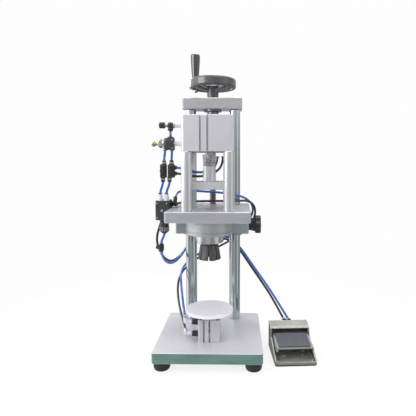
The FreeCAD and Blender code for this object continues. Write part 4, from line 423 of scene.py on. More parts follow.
# Tubes from frame to head: the imported node that each replaces, and two places on its route
CROSSINGS = {
    "pedal_line_black": ("pedal_tube_black", PEDAL_BLACK[-2], PEDAL_BLACK[-6]),
    "pedal_line_blue": ("pedal_tube_blue", PEDAL_BLUE[-2], PEDAL_BLUE[-6]),
    "lift_line_blue": ("lift_tube_blue", (0, 0, 145), (0, 0, 355)),
    "lift_line_black": ("lift_tube_black", (0, 0, 120), (0, 0, 350)),
}


def metres(place):
    """A place given in millimetres."""
    return tuple(value * MM for value in place)


def add_object(name, mesh):
    """A new mesh object at the origin of the scene."""
    thing = bpy.data.objects.new(name, mesh)
    bpy.context.scene.collection.objects.link(thing)
    return thing


def smooth_line(route):
    """Points along the NURBS curve of a route."""
    curve = bpy.data.curves.new("route", "CURVE")
    curve.dimensions = "3D"
    curve.resolution_u = TUBE_STEPS_PER_SPAN
    spline = curve.splines.new("NURBS")
    spline.points.add(len(route) - 1)
    for point, place in zip(spline.points, route):
        point.co = (*metres(place), 1.0)
    spline.order_u = 3
    spline.use_endpoint_u = True
    holder = add_object("route", curve)
    bpy.context.view_layer.update()
    line = bpy.data.meshes.new_from_object(holder.evaluated_get(bpy.context.evaluated_depsgraph_get()))
    places = [vertex.co.copy() for vertex in line.vertices]
    bpy.data.objects.remove(holder)
    bpy.data.curves.remove(curve)
    bpy.data.meshes.remove(line)
    return places


def swept_tube(name, places, radius, look):
    """A round tube along a line of points, closed at both ends, with its own length and turn as UV."""
    builder = bmesh.new()
    layer = builder.loops.layers.uv.new("along")
    side = (places[1] - places[0]).orthogonal().normalized()
    turns = [2 * math.pi * step / TUBE_SIDES for step in range(TUBE_SIDES)]
    rings = []
    travelled = [0.0]
    for i, place in enumerate(places):
        ahead = (places[min(i + 1, len(places) - 1)] - places[max(i - 1, 0)]).normalized()
        side = (side - ahead * side.dot(ahead)).normalized()
        other = ahead.cross(side)
        spokes = [side * math.cos(turn) + other * math.sin(turn) for turn in turns]
        rings.append([builder.verts.new(place + spoke * radius) for spoke in spokes])
        if i:
            travelled.append(travelled[-1] + (place - places[i - 1]).length)
    for i, (low, high) in enumerate(zip(rings, rings[1:])):
        for step in range(TUBE_SIDES):
            following = (step + 1) % TUBE_SIDES
            face = builder.faces.new((low[step], low[following], high[following], high[step]))
            spots = ((i, step), (i, step + 1), (i + 1, step + 1), (i + 1, step))
            for loop, (row, turn) in zip(face.loops, spots):
                loop[layer].uv = (travelled[row] / TUBE_LENGTH_PER_UV, turn / TUBE_SIDES)
            face.smooth = True
    for ring in (rings[0][::-1], rings[-1]):
        builder.faces.new(ring)
    mesh = bpy.data.meshes.new(name)
    builder.to_mesh(mesh)
    builder.free()
    mesh.materials.append(look)
    return add_object(name, mesh)


def build_tubes():
    """Every air tube on its route; gives the ends of each, and the next points, for the rings."""
    ends = {}
    for name, route, look, length in TUBES:
        places = smooth_line(route)
        ends[name] = ((places[0], places[1]), (places[-1], places[-2]))
        tube = swept_tube(name, places, TUBE_DIAMETER / 2, look)
        if name in CROSSINGS:
            node, start, end = CROSSINGS[name]
            metres(start)
            metres(end)
            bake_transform(tube)
            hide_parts(node)
        else:
            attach(tube, "head")
            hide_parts("head_tubes")
        if length:
            metres(route[0])
            [tuple(p) for p in places]
    return ends


# How finely the pieces are drawn
CORNER_STEPS = 6
CHAMFER_SHARE = 0.29
SMOOTH_BELOW = math.radians(38)
STILL = Matrix.Identity(4)


def facing(place, direction):
    """Turns a shape drawn along Z to a direction, with its origin at a place."""
    return Matrix.Translation(place) @ Vector(direction).to_track_quat("Z", "Y").to_matrix().to_4x4()


def hexagon(angle):
    """How far a hexagon of half width 1 reaches at an angle."""
    return 1 / math.cos((angle + math.pi / 6) % (math.pi / 3) - math.pi / 6)


def scalloped(count, depth):
    """A circle with hollows round it."""
    def reach(angle):
        return 1 - depth * (0.5 - 0.5 * math.cos(angle * count)) ** 1.6

    return reach


class Piece:
    """A visible piece in the making: shapes in millimetres, each with its own finish."""

    def __init__(self, name):
        self.name = name
        self.builder = bmesh.new()
        self.looks = []

    def index(self, look):
        if look not in self.looks:
            self.looks.append(look)
        return self.looks.index(look)

    def skin(self, rings, look, bore=False):
        """A skin over rings of points; with a bore its last ring meets the first."""
        loops = [[self.builder.verts.new(point) for point in ring] for ring in rings]
        if bore:
            loops.append(loops[0])
        count = len(loops[0])
        faces = []
        for low, high in zip(loops, loops[1:]):
            for step in range(count):
                following = (step + 1) % count
                corners = (low[step], low[following], high[following], high[step])
                faces.append(self.builder.faces.new(corners))
        if not bore:
            faces.append(self.builder.faces.new(loops[0][::-1]))
            faces.append(self.builder.faces.new(loops[-1]))
        for face in faces:
            face.material_index = self.index(look)
        return self

    def turned(self, rows, look, place=(0, 0, 0), direction=UP, sides=64, bore=False):
        """Rows of radius and height, with a form other than round where a row names one, about an axis."""
        turn = facing(place, direction)
        rings = []
        for radius, height, *form in rows:
            ring = []
            for step in range(sides):
                angle = 2 * math.pi * step / sides
                reach = radius * (form[0](angle) if form else 1)
                ring.append(turn @ Vector((reach * math.cos(angle), reach * math.sin(angle), height)))
            rings.append(ring)
        return self.skin(rings, look, bore)

    def slab(self, low, high, corner, edge, look, turn=STILL):
        """A plate between two corner points, its upright corners and its edges rounded."""
        middle_x, middle_y = (low[0] + high[0]) / 2, (low[1] + high[1]) / 2
        half_x, half_y = (high[0] - low[0]) / 2 - corner, (high[1] - low[1]) / 2 - corner
        soft = edge * CHAMFER_SHARE
        levels = (
            (edge, low[2]), (soft, low[2] + soft), (0, low[2] + edge),
            (0, high[2] - edge), (soft, high[2] - soft), (edge, high[2]),
        )
        rings = []
        for inset, z in levels:
            radius = max(corner - inset, 0.02)
            ring = []
            for side_x, side_y, start in ((1, 1, 0), (-1, 1, 90), (-1, -1, 180), (1, -1, 270)):
                for step in range(CORNER_STEPS + 1):
                    angle = math.radians(start + 90 * step / CORNER_STEPS)
                    x = middle_x + side_x * half_x + radius * math.cos(angle)
                    y = middle_y + side_y * half_y + radius * math.sin(angle)
                    ring.append(turn @ Vector((x, y, z)))
            rings.append(ring)
        return self.skin(rings, look)

    def add(self, mesh, look, turn=STILL):
        """Takes in a mesh that a node tree made."""
        points, faces = self.builder.verts, self.builder.faces
        old_points, old_faces = len(points), len(faces)
        self.builder.from_mesh(mesh)
        bpy.data.meshes.remove(mesh)
        points.ensure_lookup_table()
        faces.ensure_lookup_table()
        bmesh.ops.transform(self.builder, matrix=turn, verts=points[old_points:])
        for face in faces[old_faces:]:
            face.material_index = self.index(look)
        return self

    def set_out(self, pattern, look, spots):
        """Copies of a pattern at places, each facing its direction."""
        return self.add(SPOTS.bake(pattern, look, points=points_mesh(spots)), look)

    def mesh(self, scale=1.0):
        """The shape so far as a mesh."""
        bmesh.ops.recalc_face_normals(self.builder, faces=self.builder.faces)
        bmesh.ops.scale(self.builder, vec=(scale,) * 3, verts=self.builder.verts)
        mesh = bpy.data.meshes.new(self.name)
        self.builder.to_mesh(mesh)
        self.builder.free()
        return mesh

    def done(self, body, *nodes, slot):
        """The finished piece in metres, on a body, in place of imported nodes."""
        mesh = self.mesh(MM)
        for look in self.looks:
            mesh.materials.append(look)
        mesh.shade_smooth()
        mesh.set_sharp_from_angle(angle=SMOOTH_BELOW)
        thing = add_object(self.name, mesh)
        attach(thing, body)
        if nodes:
            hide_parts(*nodes)
        return thing


class Repeater:
    """A node tree that sets copies of a part at the points of a geometry and bakes them into one mesh."""

    def __init__(self, name, *inputs):
        self.tree = bpy.data.node_groups.new(name, "GeometryNodeTree")
        self.socket("Geometry", "Geometry")
        for label, kind in inputs + (("Part", "Object"), ("Finish", "Material")):
            self.socket(label, kind)
        self.tree.interface.new_socket("Geometry", in_out="OUTPUT", socket_type="NodeSocketGeometry")
        self.entry = self.tree.nodes.new("NodeGroupInput").outputs

    def socket(self, label, kind):
        self.tree.interface.new_socket(label, in_out="INPUT", socket_type="NodeSocket" + kind)

    def node(self, kind, inputs=(), **settings):
        return add_node(self.tree, kind, inputs, **settings)

    def end(self, points, rotation):
        """Copies the part to the points and joins all into one mesh with its finish."""
        part = self.node("GeometryNodeObjectInfo", {"Object": self.entry["Part"]})["Geometry"]
        inputs = {"Points": points, "Instance": part, "Rotation": rotation}
        copies = self.node("GeometryNodeInstanceOnPoints", inputs)[0]
        solid = self.node("GeometryNodeRealizeInstances", {"Geometry": copies})[0]
        inputs = {"Geometry": solid, "Material": self.entry["Finish"]}
        coated = self.node("GeometryNodeSetMaterial", inputs)[0]
        self.node("NodeGroupOutput", {0: coated})
        return self

    def bake(self, pattern, look, points=None, **values):
        """The finished mesh of all copies, for these inputs of the tree."""
        part = add_object(pattern.name, pattern.mesh())
        holder = add_object("holder", points or bpy.data.meshes.new("holder"))
        modifier = holder.modifiers.new("copies", "NODES")
        modifier.node_group = self.tree
        values.update(Part=part, Finish=look)
        for item in self.tree.interface.items_tree:
            if item.in_out == "INPUT" and item.name in values:
                modifier[item.identifier] = values[item.name]
        bpy.context.view_layer.update()
        evaluated = holder.evaluated_get(bpy.context.evaluated_depsgraph_get())
        mesh = bpy.data.meshes.new_from_object(evaluated)
        holder.modifiers.remove(modifier)
        for spent in (holder, part):
            shape = spent.data
            bpy.data.objects.remove(spent)
            bpy.data.meshes.remove(shape)
        return mesh


def ring_repeater():
    """Copies round a circle, each with its own X axis outward."""
    tree = Repeater("ring_of_parts", ("Count", "Int"), ("Radius", "Float"))
    inputs = {"Vertices": tree.entry["Count"], "Radius": tree.entry["Radius"]}
    circle = tree.node("GeometryNodeMeshCircle", inputs)[0]
    place = {"Vector": tree.node("GeometryNodeInputPosition")[0]}
    outward = tree.node("FunctionNodeAlignRotationToVector", place, axis="X", pivot_axis="Z")[0]
    return tree.end(circle, outward)


def row_repeater():
    """Copies in a straight row."""
    tree = Repeater("row_of_parts", ("Count", "Int"), ("Step", "Vector"))
    inputs = {"Count": tree.entry["Count"], "Offset": tree.entry["Step"]}
    return tree.end(tree.node("GeometryNodeMeshLine", inputs)[0], (0.0, 0.0, 0.0))


def spot_repeater():
    """Copies at given points, each turned as its point says."""
    tree = Repeater("parts_at_points")
    turn = tree.node("GeometryNodeInputNamedAttribute", {"Name": "turn"}, data_type="FLOAT_VECTOR")[0]
    rotation = tree.node("FunctionNodeEulerToRotation", {0: turn})[0]
    return tree.end(tree.entry["Geometry"], rotation)


RING = ring_repeater()
ROW = row_repeater()
SPOTS = spot_repeater()


def points_mesh(spots):
    """Points with the turn of each, from pairs of place and direction."""
    mesh = bpy.data.meshes.new("points")
    mesh.from_pydata([tuple(place) for place, direction in spots], [], [])
    turns = mesh.attributes.new("turn", "FLOAT_VECTOR", "POINT")
    for entry, (place, direction) in zip(turns.data, spots):
        entry.vector = Vector(direction).to_track_quat("Z", "Y").to_euler()
    return mesh


def screw_head(radius, height, key):
    """Head of a socket screw, standing on Z = 0, with a hexagon hole."""
    rim = min(0.5, radius * 0.12)
    soft = rim * 0.3
    hole_floor = height * 0.35
    rows = [
        (radius, 0), (radius, height - rim), (radius - soft, height - soft), (radius - rim, height),
        (key + 0.25, height, hexagon), (key, height - 0.25, hexagon), (key, hole_floor, hexagon),
    ]
    return Piece("screw_pattern").turned(rows, BLACK_SCREW, sides=36)


# Where the pedal stands and how far it is turned, and heights of the air ports in the head
PEDAL_PLACE = (199.85, -31.05, 0)
PEDAL_ANGLE = math.radians(3.87)
PEDAL_TURN = Matrix.Translation(PEDAL_PLACE) @ Matrix.Rotation(PEDAL_ANGLE, 4, "Z")
OUTLET_HEIGHT = 558
INLET_HEIGHT = 515


def build_feet():
    """Rounded rubber feet with their screws, and the sole under the pedal."""
    feet = Piece("moulded_feet")
    spread, side, sole, rise = 104.5, 19, 13, 8
    turns = [step * math.pi / 12 for step in range(1, 7)]
    rows = [(6, 8), (6, 0.4), (6.4, 0), (sole, 0)]
    rows += [(sole + (side - sole) * math.sin(a), rise - rise * math.cos(a)) for a in turns]
    rows += [(19.5, 15), (side, 15.5), (side, 16.1), (19.6, 16.6), (20, 19.5), (19.6, 20)]
    screw = [(2.5, 3.5, hexagon), (2.5, 3, hexagon), (4.6, 3), (5, 3.5), (5, 7.9)]
    for x in (-spread, spread):
        for y in (-spread, spread):
            feet.turned(rows, RUBBER, (x, y, 0))
            feet.turned(screw, NICKEL, (x, y, 0), sides=36)
    feet.slab((-49, -58.5, 0), (49, 58.5, 3), 6, 0.6, RUBBER, PEDAL_TURN)
    feet.done("frame", "rubber_feet", slot="rubber_black")


def build_grip():
    """Turned grip of the crank handle, hollow round its bolt."""
    low, reach, angle = 692.3, 55, math.radians(153.5)
    axis = (reach * math.cos(angle), POST_Y + reach * math.sin(angle), low)
    rows = [
        (4.2, 0), (9, 0), (9.8, 0.5), (10, 1.4), (10.1, 6), (10.4, 14), (10.9, 22), (11.6, 32),
        (12.3, 42), (12.9, 52), (13.3, 60), (13.5, 66), (13.4, 69.4), (13, 71), (12.3, 71.8), (11.4, 72),
        (7, 72), (6.6, 71.6), (6.5, 63.4),
    ]
    grip = Piece("crank_grip")
    grip.turned(rows, GRIP_BLACK, axis, bore=True)
    grip.done("wheel_handle", "handle_grip", slot="black_moulding")


def build_wheel_screw():
    """Bright set screw in the front of the wheel's hub."""
    screw = Piece("hub_set_screw")
    screw.turned([
        (2.9, -1.5), (2.9, 0.5), (2.6, 0.8), (1.5, 0.8, hexagon), (1.4, -0.6, hexagon),
    ], NICKEL, (-1.5, 72.7, 671.5), (-0.1, -1, 0), sides=36)
    screw.done("screw", slot="steel_turned")


def build_lead_screw():
    """Lifting screw with its trapezoid thread, collar and journal."""
    screw = Piece("threaded_spindle")
    core = [
        (6, 203), (6.9, 204), (6.9, 590), (9, 591), (9, 596.7), (15.4, 596.7), (16, 597.3), (16, 606.1),
        (15.4, 606.7), (7.5, 606.7), (7.5, 676.3), (5, 676.3), (5, 687.6), (4.4, 688.3),
    ]
    screw.turned(core, SCREW_STEEL, (0, POST_Y, 0), sides=48)
    pitch, steps_per_turn, low, high = 4, 28, 205, 588
    ridge = ((6.8, -1.25), (9, -0.70), (9, 0.70), (6.8, 1.25))
    rings = []
    for step in range(int((high - low) / pitch * steps_per_turn)):
        angle = 2 * math.pi * step / steps_per_turn
        z = low + pitch * step / steps_per_turn
        across, back = math.cos(angle), math.sin(angle)
        rings.append([(r * across, POST_Y + r * back, z + rise) for r, rise in ridge])
    screw.skin(rings, SCREW_STEEL)
    screw.done("screw", "lead_screw", slot="steel_turned")


def build_clamp_knob():
    """Lobed knob with a waisted hub and a cap ring in its face."""
    knob = Piece("lobed_knob")
    lobes = scalloped(6, 0.13)
    knob.turned([
        (4.4, -17.2), (5, -16.6), (5, 0), (15.6, 0), (16.2, 0.6), (16.6, 4), (17.6, 10), (19.6, 16.6),
        (21, 17.5), (23.4, 17.5, lobes), (24.6, 18.2, lobes), (25, 19.6, lobes), (25, 29.4, lobes),
        (24.5, 31.2, lobes), (23.2, 32.3, lobes), (21.6, 32.5, lobes), (10.5, 32.5), (10.2, 32.1),
        (9.8, 32.1), (9.5, 32.5), (0.5, 32.5),
    ], NYLON_BLACK, (97.3, POST_Y, 304), RIGHT, sides=96)
    knob.done("knob", "clamp_knob", slot="black_moulding")


def build_coupling_nut():
    """Ribbed nut with its collar."""
    nut = Piece("ribbed_nut")
    x, y, low = -114, -10, 297
    nut.turned([
        (6.6, 0), (7, 0), (9.2, 1.6), (9.5, 2.4), (9.5, 3), (10.4, 3), (11.2, 3.8), (11.2, 15.2),
        (10.4, 16), (6.6, 16),
    ], NYLON_BLACK, (x, y, low))
    rib = Piece("rib_pattern").slab((-0.9, -1.05, 0), (0.9, 1.05, 10.6), 0.6, 0.45, NYLON_BLACK)
    ribs = RING.bake(rib, RIB_GREY, Count=18, Radius=11.1)
    nut.add(ribs, RIB_GREY, Matrix.Translation((x, y, low + 4.2)))
    nut.done("head", "coupling_nut", slot="black_nylon")


def build_quick_plug():
    """Air nipple: nickel hexagon, tan stepped nipple with a locking groove."""
    plug = Piece("stepped_nipple")
    place = (-109.5, PROCESS_Y, INLET_HEIGHT)
    plug.turned([
        (8.4, 0), (9, 0.4), (9, 1.9), (9.2, 2, hexagon), (9.7, 2.6, hexagon), (9.7, 7.9, hexagon),
        (9.2, 8.5, hexagon), (8.2, 8.5),
    ], NICKEL, place, LEFT, sides=72)
    plug.turned([
        (8, 8.4), (8.5, 8.6), (8.5, 9.5), (6.7, 11.3), (6.5, 11.7), (5.3, 13), (5.25, 13.4),
        (5.25, 17.8), (5.5, 18.3), (7, 19.5), (7.4, 20.4), (7.5, 21), (7.5, 24.5), (7.2, 25.4),
        (6.4, 26.3), (6, 26.5), (3.6, 26.5), (3.1, 26.1), (3, 17),
    ], BRASS, place, LEFT)
    plug.done("head", "quick_plug", slot="brass_plug")


def build_platform():
    """Round table with softened edges, a turned line near its rim and one round its middle."""
    table = Piece("round_table")
    table.turned([
        (5.1, 104), (14.2, 104), (15, 104.8), (15, 111.4), (15.6, 112), (55.9, 112), (56.7, 112.3),
        (57, 113.1), (57, 117.9), (56.7, 118.7), (55.9, 119), (52.2, 119), (52, 118.75), (51.6, 118.75),
        (51.4, 119), (22.2, 119), (22, 118.8), (21.7, 118.8), (21.5, 119), (0.4, 119),
    ], PLATFORM, (0, PROCESS_Y, 0), sides=128)
    table.done("lift", "platform", slot="platform_white")


def build_pad():
    """Rubber pad of the treadle, with fine ribs across."""
    front, front_height, rear, rear_height, inset = -47, 38, 38, 48, 5
    slope = (rear_height - front_height) / (rear - front)
    start = Matrix.Translation((0, front + inset, front_height + inset * slope))
    turn = PEDAL_TURN @ start @ Matrix.Rotation(math.atan(slope), 4, "X")
    pad = Piece("ribbed_pad")
    pad.slab((-38.5, 0, 0), (38.5, 56.4, 3.5), 5, 0.9, PAD, turn)
    rib = Piece("pad_rib_pattern").slab((-35.5, -0.75, -0.2), (35.5, 0.75, 0.5), 0.7, 0.3, PAD)
    ribs = ROW.bake(rib, PAD, Count=17, Step=(0, 3.1, 0))
    pad.add(ribs, PAD, turn @ Matrix.Translation((0, 3.4, 3.5)))
    pad.done("pedal", "pedal_pad", slot="pad_rubber")


def build_pedal_screws():
    """Small bright screws on the pedal's floor and low on its walls."""
    spots = [(23, -16, 7), (-22, -18, 7), (41.5, -46, 7), (-41.5, -46, 7), (30, 6, 7)]
    head = Piece("pan_head_pattern").turned([
        (3, 0), (3, 0.6), (2.6, 1.5), (1.7, 2), (0.9, 2.1), (0.8, 1.2),
    ], NICKEL, sides=32)
    screws = Piece("pedal_floor_screws")
    screws.set_out(head, NICKEL, [(PEDAL_TURN @ Vector(spot), UP) for spot in spots])
    screws.done("frame", slot="steel_turned")


def build_cylinder_screws():
    """Socket screws at the corners of the head cylinder's top."""
    spots = [((x, PROCESS_Y + y, 576.3), UP) for x in (-48, 48) for y in (-48, 48)]
    screws = Piece("cylinder_screws").set_out(screw_head(5, 1.6, 2.6), BLACK_SCREW, spots)
    screws.done("head", slot="screw_black")


def knurl(piece, look, count, radius, length, place):
    """Small ridges round a knob."""
    ridge = Piece("ridge_pattern").slab((-0.35, -0.4, 0), (0.35, 0.4, length), 0.25, 0.2, look)
    piece.add(RING.bake(ridge, look, Count=count, Radius=radius), look, place)


def build_port_fittings():
    """Swivel elbow with its regulating knob, and the nipple of the inlet block."""
    ports = Piece("cylinder_ports")

    def stub(rows, look, x, way=LEFT, sides=64):
        """A turned shape on the outlet's axis."""
        ports.turned(rows, look, (x, PROCESS_Y, OUTLET_HEIGHT), way, sides)

    for z, reach in ((OUTLET_HEIGHT, 27), (INLET_HEIGHT, 23.5)):
        ports.turned([
            (6.6, 0, hexagon), (7, 0.4, hexagon), (7, 7.4, hexagon), (6.6, 8, hexagon), (5.4, 8),
            (5.4, reach - 5), (6, reach - 4.6), (6, reach),
        ], NYLON_WHITE, (-59, PROCESS_Y, z), LEFT, sides=48)
    stub([
        (5.6, 0), (6.8, 0.8), (7, 1.6), (7, 4), (6, 4.4), (6, 5.2), (7.1, 5.8), (7.2, 11),
        (6.6, 12.4), (4.6, 13),
    ], NYLON_BLACK, -84.4)
    stub([(6.1, -3.4), (6.6, -3.2), (6.6, -0.3), (6.1, 0)], NICKEL, -84.4)
    stub([(6, 0), (6.4, 1), (6.6, 4), (6.6, 11.4), (6, 12)], NYLON_BLACK, -91.5, DOWN)
    stub([(4.4, 0), (4.4, 8)], NICKEL, -97)
    stub([(6.2, 0), (6.9, 0.5), (6.9, 13.2), (6.2, 14), (3, 14), (2.8, 13.5)], NYLON_BLACK, -104)
    knurl(ports, NYLON_BLACK, 22, 6.9, 12, facing((-105, PROCESS_Y, OUTLET_HEIGHT), LEFT))
    ports.done("head", "port_fittings", slot="black_nylon")


def build_inlet_block():
    """Black distribution block with its outlets and a stepped cover."""
    block = Piece("distribution_block")
    block.slab((-105.2, -53, 500), (-82.6, -31, 527.5), 2.2, 0.8, VALVE_BLACK)
    block.slab((-98, -51, 527), (-83.4, -33, 530), 2, 0.8, VALVE_BLACK)
    block.slab((-105.4, -53.2, 508.6), (-82.4, -30.8, 509.2), 2.3, 0.2, NYLON_BLACK)
    collar = [(8.6, 0), (9.2, 0.5), (9.2, 4.4), (8.8, 5)]
    block.turned(collar, NICKEL, (-105, PROCESS_Y, INLET_HEIGHT), LEFT)
    for x in (-104, -88.5):
        block.turned([(5, 0), (5, 5), (4.6, 5.6)], VALVE_BLACK, (x, PROCESS_Y, 505), DOWN)
        block.turned([(5.3, 0), (5.5, 0.3), (5.5, 2.6), (5.3, 3)], NICKEL, (x, PROCESS_Y, 502), DOWN)
    spots = [((x, -53, z), FRONT) for x, z in ((-102, 523.5), (-86, 523.5), (-86, 504))]
    block.set_out(screw_head(1.6, 0.8, 0.8), NICKEL, spots)
    block.done("head", "inlet_block", slot="black_nylon")


def build_regulators():
    """Two speed regulators: rounded bodies, silver sockets, knurled needle knobs, side ports on one."""
    pair = Piece("speed_regulators")
    y, low, high = -34, 434, 466
    socket = [(5.6, -1), (5.6, 1.4), (5.2, 1.8), (5.2, 5.4), (4.9, 5.8), (4.9, 7.6), (4.5, 8)]
    ring = [(5.3, 2), (5.8, 2.2), (5.8, 5), (5.3, 5.2)]
    needle = [(3.4, 0), (3.4, 3), (4.8, 3.4), (4.9, 4), (4.9, 8.6), (4.4, 9), (2, 9), (1.8, 8.6)]
    # Across the machine: left side, right side, upper tube, lower tube, needle knob
    for left, right, upper_x, lower_x, knob_x in (
        (-118, -103, -109, -112, -111.5),
        (-99.5, -83.5, -91, -96, -92),
    ):
        pair.slab((left, -42.5, low), (right, -25.5, high), 3.4, 1.2, VALVE_BLACK)
        for z in (438, 456):
            pair.slab((left + 1.2, -43.3, z), (right - 1.2, -40, z + 6), 1.6, 0.6, NYLON_BLACK)
        for x, z, way in ((upper_x, high, UP), (lower_x, low, DOWN)):
            pair.turned(socket, VALVE_BLACK, (x, y, z), way)
            pair.turned(ring, NICKEL, (x, y, z), way)
        pair.turned(needle, NYLON_BLACK, (knob_x, -42.4, 450), FRONT, sides=40)
        knurl(pair, NYLON_BLACK, 18, 4.8, 4.6, facing((knob_x, -46.3, 450), FRONT))
    port = [(5.2, 0), (5.2, 2.4), (4.6, 3), (4.6, 3.2)]
    for z in (458, 444):
        pair.turned(port, VALVE_BLACK, (-83.7, y, z), RIGHT, sides=40)
    pair.done("head", "flow_controls", slot="black_nylon")


def build_lift_elbows():
    """Elbows of the lifting cylinder: black swivel nut, pale elbow, silver ring."""
    elbows = Piece("lift_elbows")
    ball_radius = 5.3
    bends = [math.radians(degrees) for degrees in range(-85, 90, 10)]
    ball = [(ball_radius * math.cos(bend), ball_radius * math.sin(bend)) for bend in bends]
    for z, way in ((85, (-0.2, 0.3, 0.93)), (56, (-0.2, 0.95, 0.2))):
        start, middle, corner = ((x, PROCESS_Y, z) for x in (-26, -42, -58))
        elbows.turned([
            (6.4, 0, hexagon), (6.9, 0.5, hexagon), (6.9, 6.5, hexagon), (6.4, 7, hexagon), (6.3, 7),
            (6.6, 7.6), (6.6, 15.4), (6.1, 16),
        ], NYLON_BLACK, start, LEFT, sides=48)
        knurl(elbows, NYLON_BLACK, 20, 6.5, 6.6, facing((-34.2, PROCESS_Y, z), LEFT))
        elbows.turned([(5.3, 0), (5.6, 0.3), (5.6, 1.8), (5.3, 2.1)], NICKEL, middle, LEFT)
        elbows.turned([(4.6, 0), (4.6, 16)], NYLON_WHITE, middle, LEFT)
        elbows.turned(ball, NYLON_WHITE, corner, way)
        elbows.turned([(5.2, 0), (5.2, 8.6), (4.9, 9)], NYLON_WHITE, corner, way)
        elbows.turned([(5.2, 8.4), (5.5, 8.6), (5.5, 10.4), (5, 10.8)], NICKEL, corner, way)
    elbows.done("frame", "lift_fittings", slot="black_nylon")


def build_valve_details():
    """Cover seams, screws and a manual button on the valve."""
    details = Piece("valve_trim")
    front = -36
    for z in (343.4, 365.4):
        details.slab((-131.35, front - 0.35, z), (-104.5, -20, z + 0.8), 2.6, 0.2, NYLON_BLACK)
    spots = [((x, front, z), FRONT) for x in (-126.5, -103.5) for z in (337, 372)]
    details.set_out(screw_head(2, 0.9, 0.95), NICKEL, spots)
    button = [(3.2, -0.5), (3.2, 0.5), (2.9, 0.8), (0.3, 0.8)]
    details.turned(button, RIB_GREY, (-115, front, 354.5), FRONT)
    details.done("head", slot="steel_turned")


# Tube ends, 0 or 1, whose ring is silver; the others are black on the head and white on the frame
SILVER_RINGS = {("left_link", 1), ("pilot_link", 1), ("pedal_line_blue", 0)}


def ring_at(name, end):
    """The body and the finish of the ring round a tube's end."""
    if end == 1 and name in CROSSINGS:
        return "frame", NYLON_WHITE
    return "head", NICKEL if (name, end) in SILVER_RINGS else NYLON_BLACK


def build_release_rings(ends):
    """The ring round each tube where it enters its fitting."""
    section = [
        (3.1, -0.6), (4.3, -0.6), (4.3, 0.1), (4.9, 0.4), (5.1, 0.9), (5, 1.5), (4.4, 1.9), (3.4, 2),
        (3.1, 1.7),
    ]
    spots = {"head": {NYLON_BLACK: [], NICKEL: []}, "frame": {NYLON_WHITE: []}}
    for name, pair in ends.items():
        for end, (place, following) in enumerate(pair):
            body, look = ring_at(name, end)
            spots[body][look].append((place / MM, following - place))
    for body, by_look in spots.items():
        piece = Piece("release_rings_" + body)
        for look, places in by_look.items():
            ring = Piece("ring_pattern").turned(section, look, sides=40, bore=True)
            piece.set_out(ring, look, places)
        piece.done(body, slot="black_nylon")


def build_pieces(ends):
    """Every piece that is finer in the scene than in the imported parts."""
    for build in (
        build_feet, build_grip, build_wheel_screw, build_lead_screw, build_clamp_knob, build_coupling_nut,
        build_quick_plug, build_platform, build_pad, build_pedal_screws, build_cylinder_screws,
        build_port_fittings, build_inlet_block, build_regulators, build_lift_elbows, build_valve_details,
    ):
        build()
    build_release_rings(ends)


# Camera in metres and degrees, and the white that it sees behind the machine
CAMERA_PLACE = (0.0709, -0.9912, 0.4622)
CAMERA_TILT = 3.0
CAMERA_YAW = 1.0
CAMERA_LENS = 34.57
CAMERA_SHIFT = (-0.0578, -0.0509)
WHITE = (1.0, 1.0, 0.995, 1.0)
BACKGROUND = 0.985
FLOOR_GLOW = 1.01
FLOOR_GLOW_SHARE = 0.80
FLOOR_FADE = (0.32, 0.75)
FLOOR_DROP = 0.0002


def build_camera():
    """The camera of the photograph, nearly level and a little to the right."""
    camera = bpy.data.objects.new("camera", bpy.data.cameras.new("camera"))
    bpy.context.scene.collection.objects.link(camera)
    camera.location = CAMERA_PLACE
    camera.rotation_euler = (math.radians(90 - CAMERA_TILT), 0, math.radians(CAMERA_YAW))
    camera.data.lens = CAMERA_LENS
    camera.data.shift_x, camera.data.shift_y = CAMERA_SHIFT
    camera.data.clip_start = 0.01
    bpy.context.scene.camera = camera


def floor_finish():
    """White paint that keeps the shadow near the machine and glows like the background far from it."""
    look = Finish("floor_white", (0.9, 0.9, 0.9, 1.0), 1.0).set(Specular_IOR_Level=0.0)
    distance = look.node("VectorMath", {0: look.place}, operation="LENGTH")["Value"]
    strength = look.levels(distance, *FLOOR_FADE, FLOOR_GLOW, BACKGROUND)
    glow = look.node("Emission", {"Color": WHITE, "Strength": strength})[0]
    rays = look.node("LightPath")
    far = look.levels(distance, *FLOOR_FADE, FLOOR_GLOW_SHARE, 1.0)
    share = look.maths("MULTIPLY", rays["Is Camera Ray"], far)
    lit = look.node("MixShader", {0: share, 1: look.shader.outputs[0], 2: glow})[0]
    clear = look.node("BsdfTransparent")[0]
    surface = look.node("MixShader", {0: rays["Is Glossy Ray"], 1: lit, 2: clear})[0]
    look.tree.links.new(surface, look.tree.nodes["Material Output"].inputs["Surface"])
    return look.done()


def build_floor():
    """A white floor that keeps the machine's soft shadow."""
    builder = bmesh.new()
    bmesh.ops.create_grid(builder, x_segments=8, y_segments=8, size=4.0)
    mesh = bpy.data.meshes.new("floor")
    builder.to_mesh(mesh)
    builder.free()
    mesh.materials.append(floor_finish())
    floor = add_object("floor", mesh)
    floor.location.z = -FLOOR_DROP


# What polished metal mirrors, by degrees from the front, left negative
STUDIO_TONES = (
    (-180, 0.30), (-140, 0.45), (-114, 1.25), (-80, 1.15), (-60, 0.55), (-40, 0.32), (-14, 0.48), (4, 0.44),
    (22, 0.28), (44, 0.36), (62, 0.74), (78, 0.62), (98, 0.24), (125, 0.45), (180, 0.30),
)
# How much brighter the studio gets upward, up to a limit, and its even level where nothing mirrors it
SKY_LIFT = 2.0
SKY_LIFT_LIMIT = 0.28
STUDIO_LEVEL = 0.62


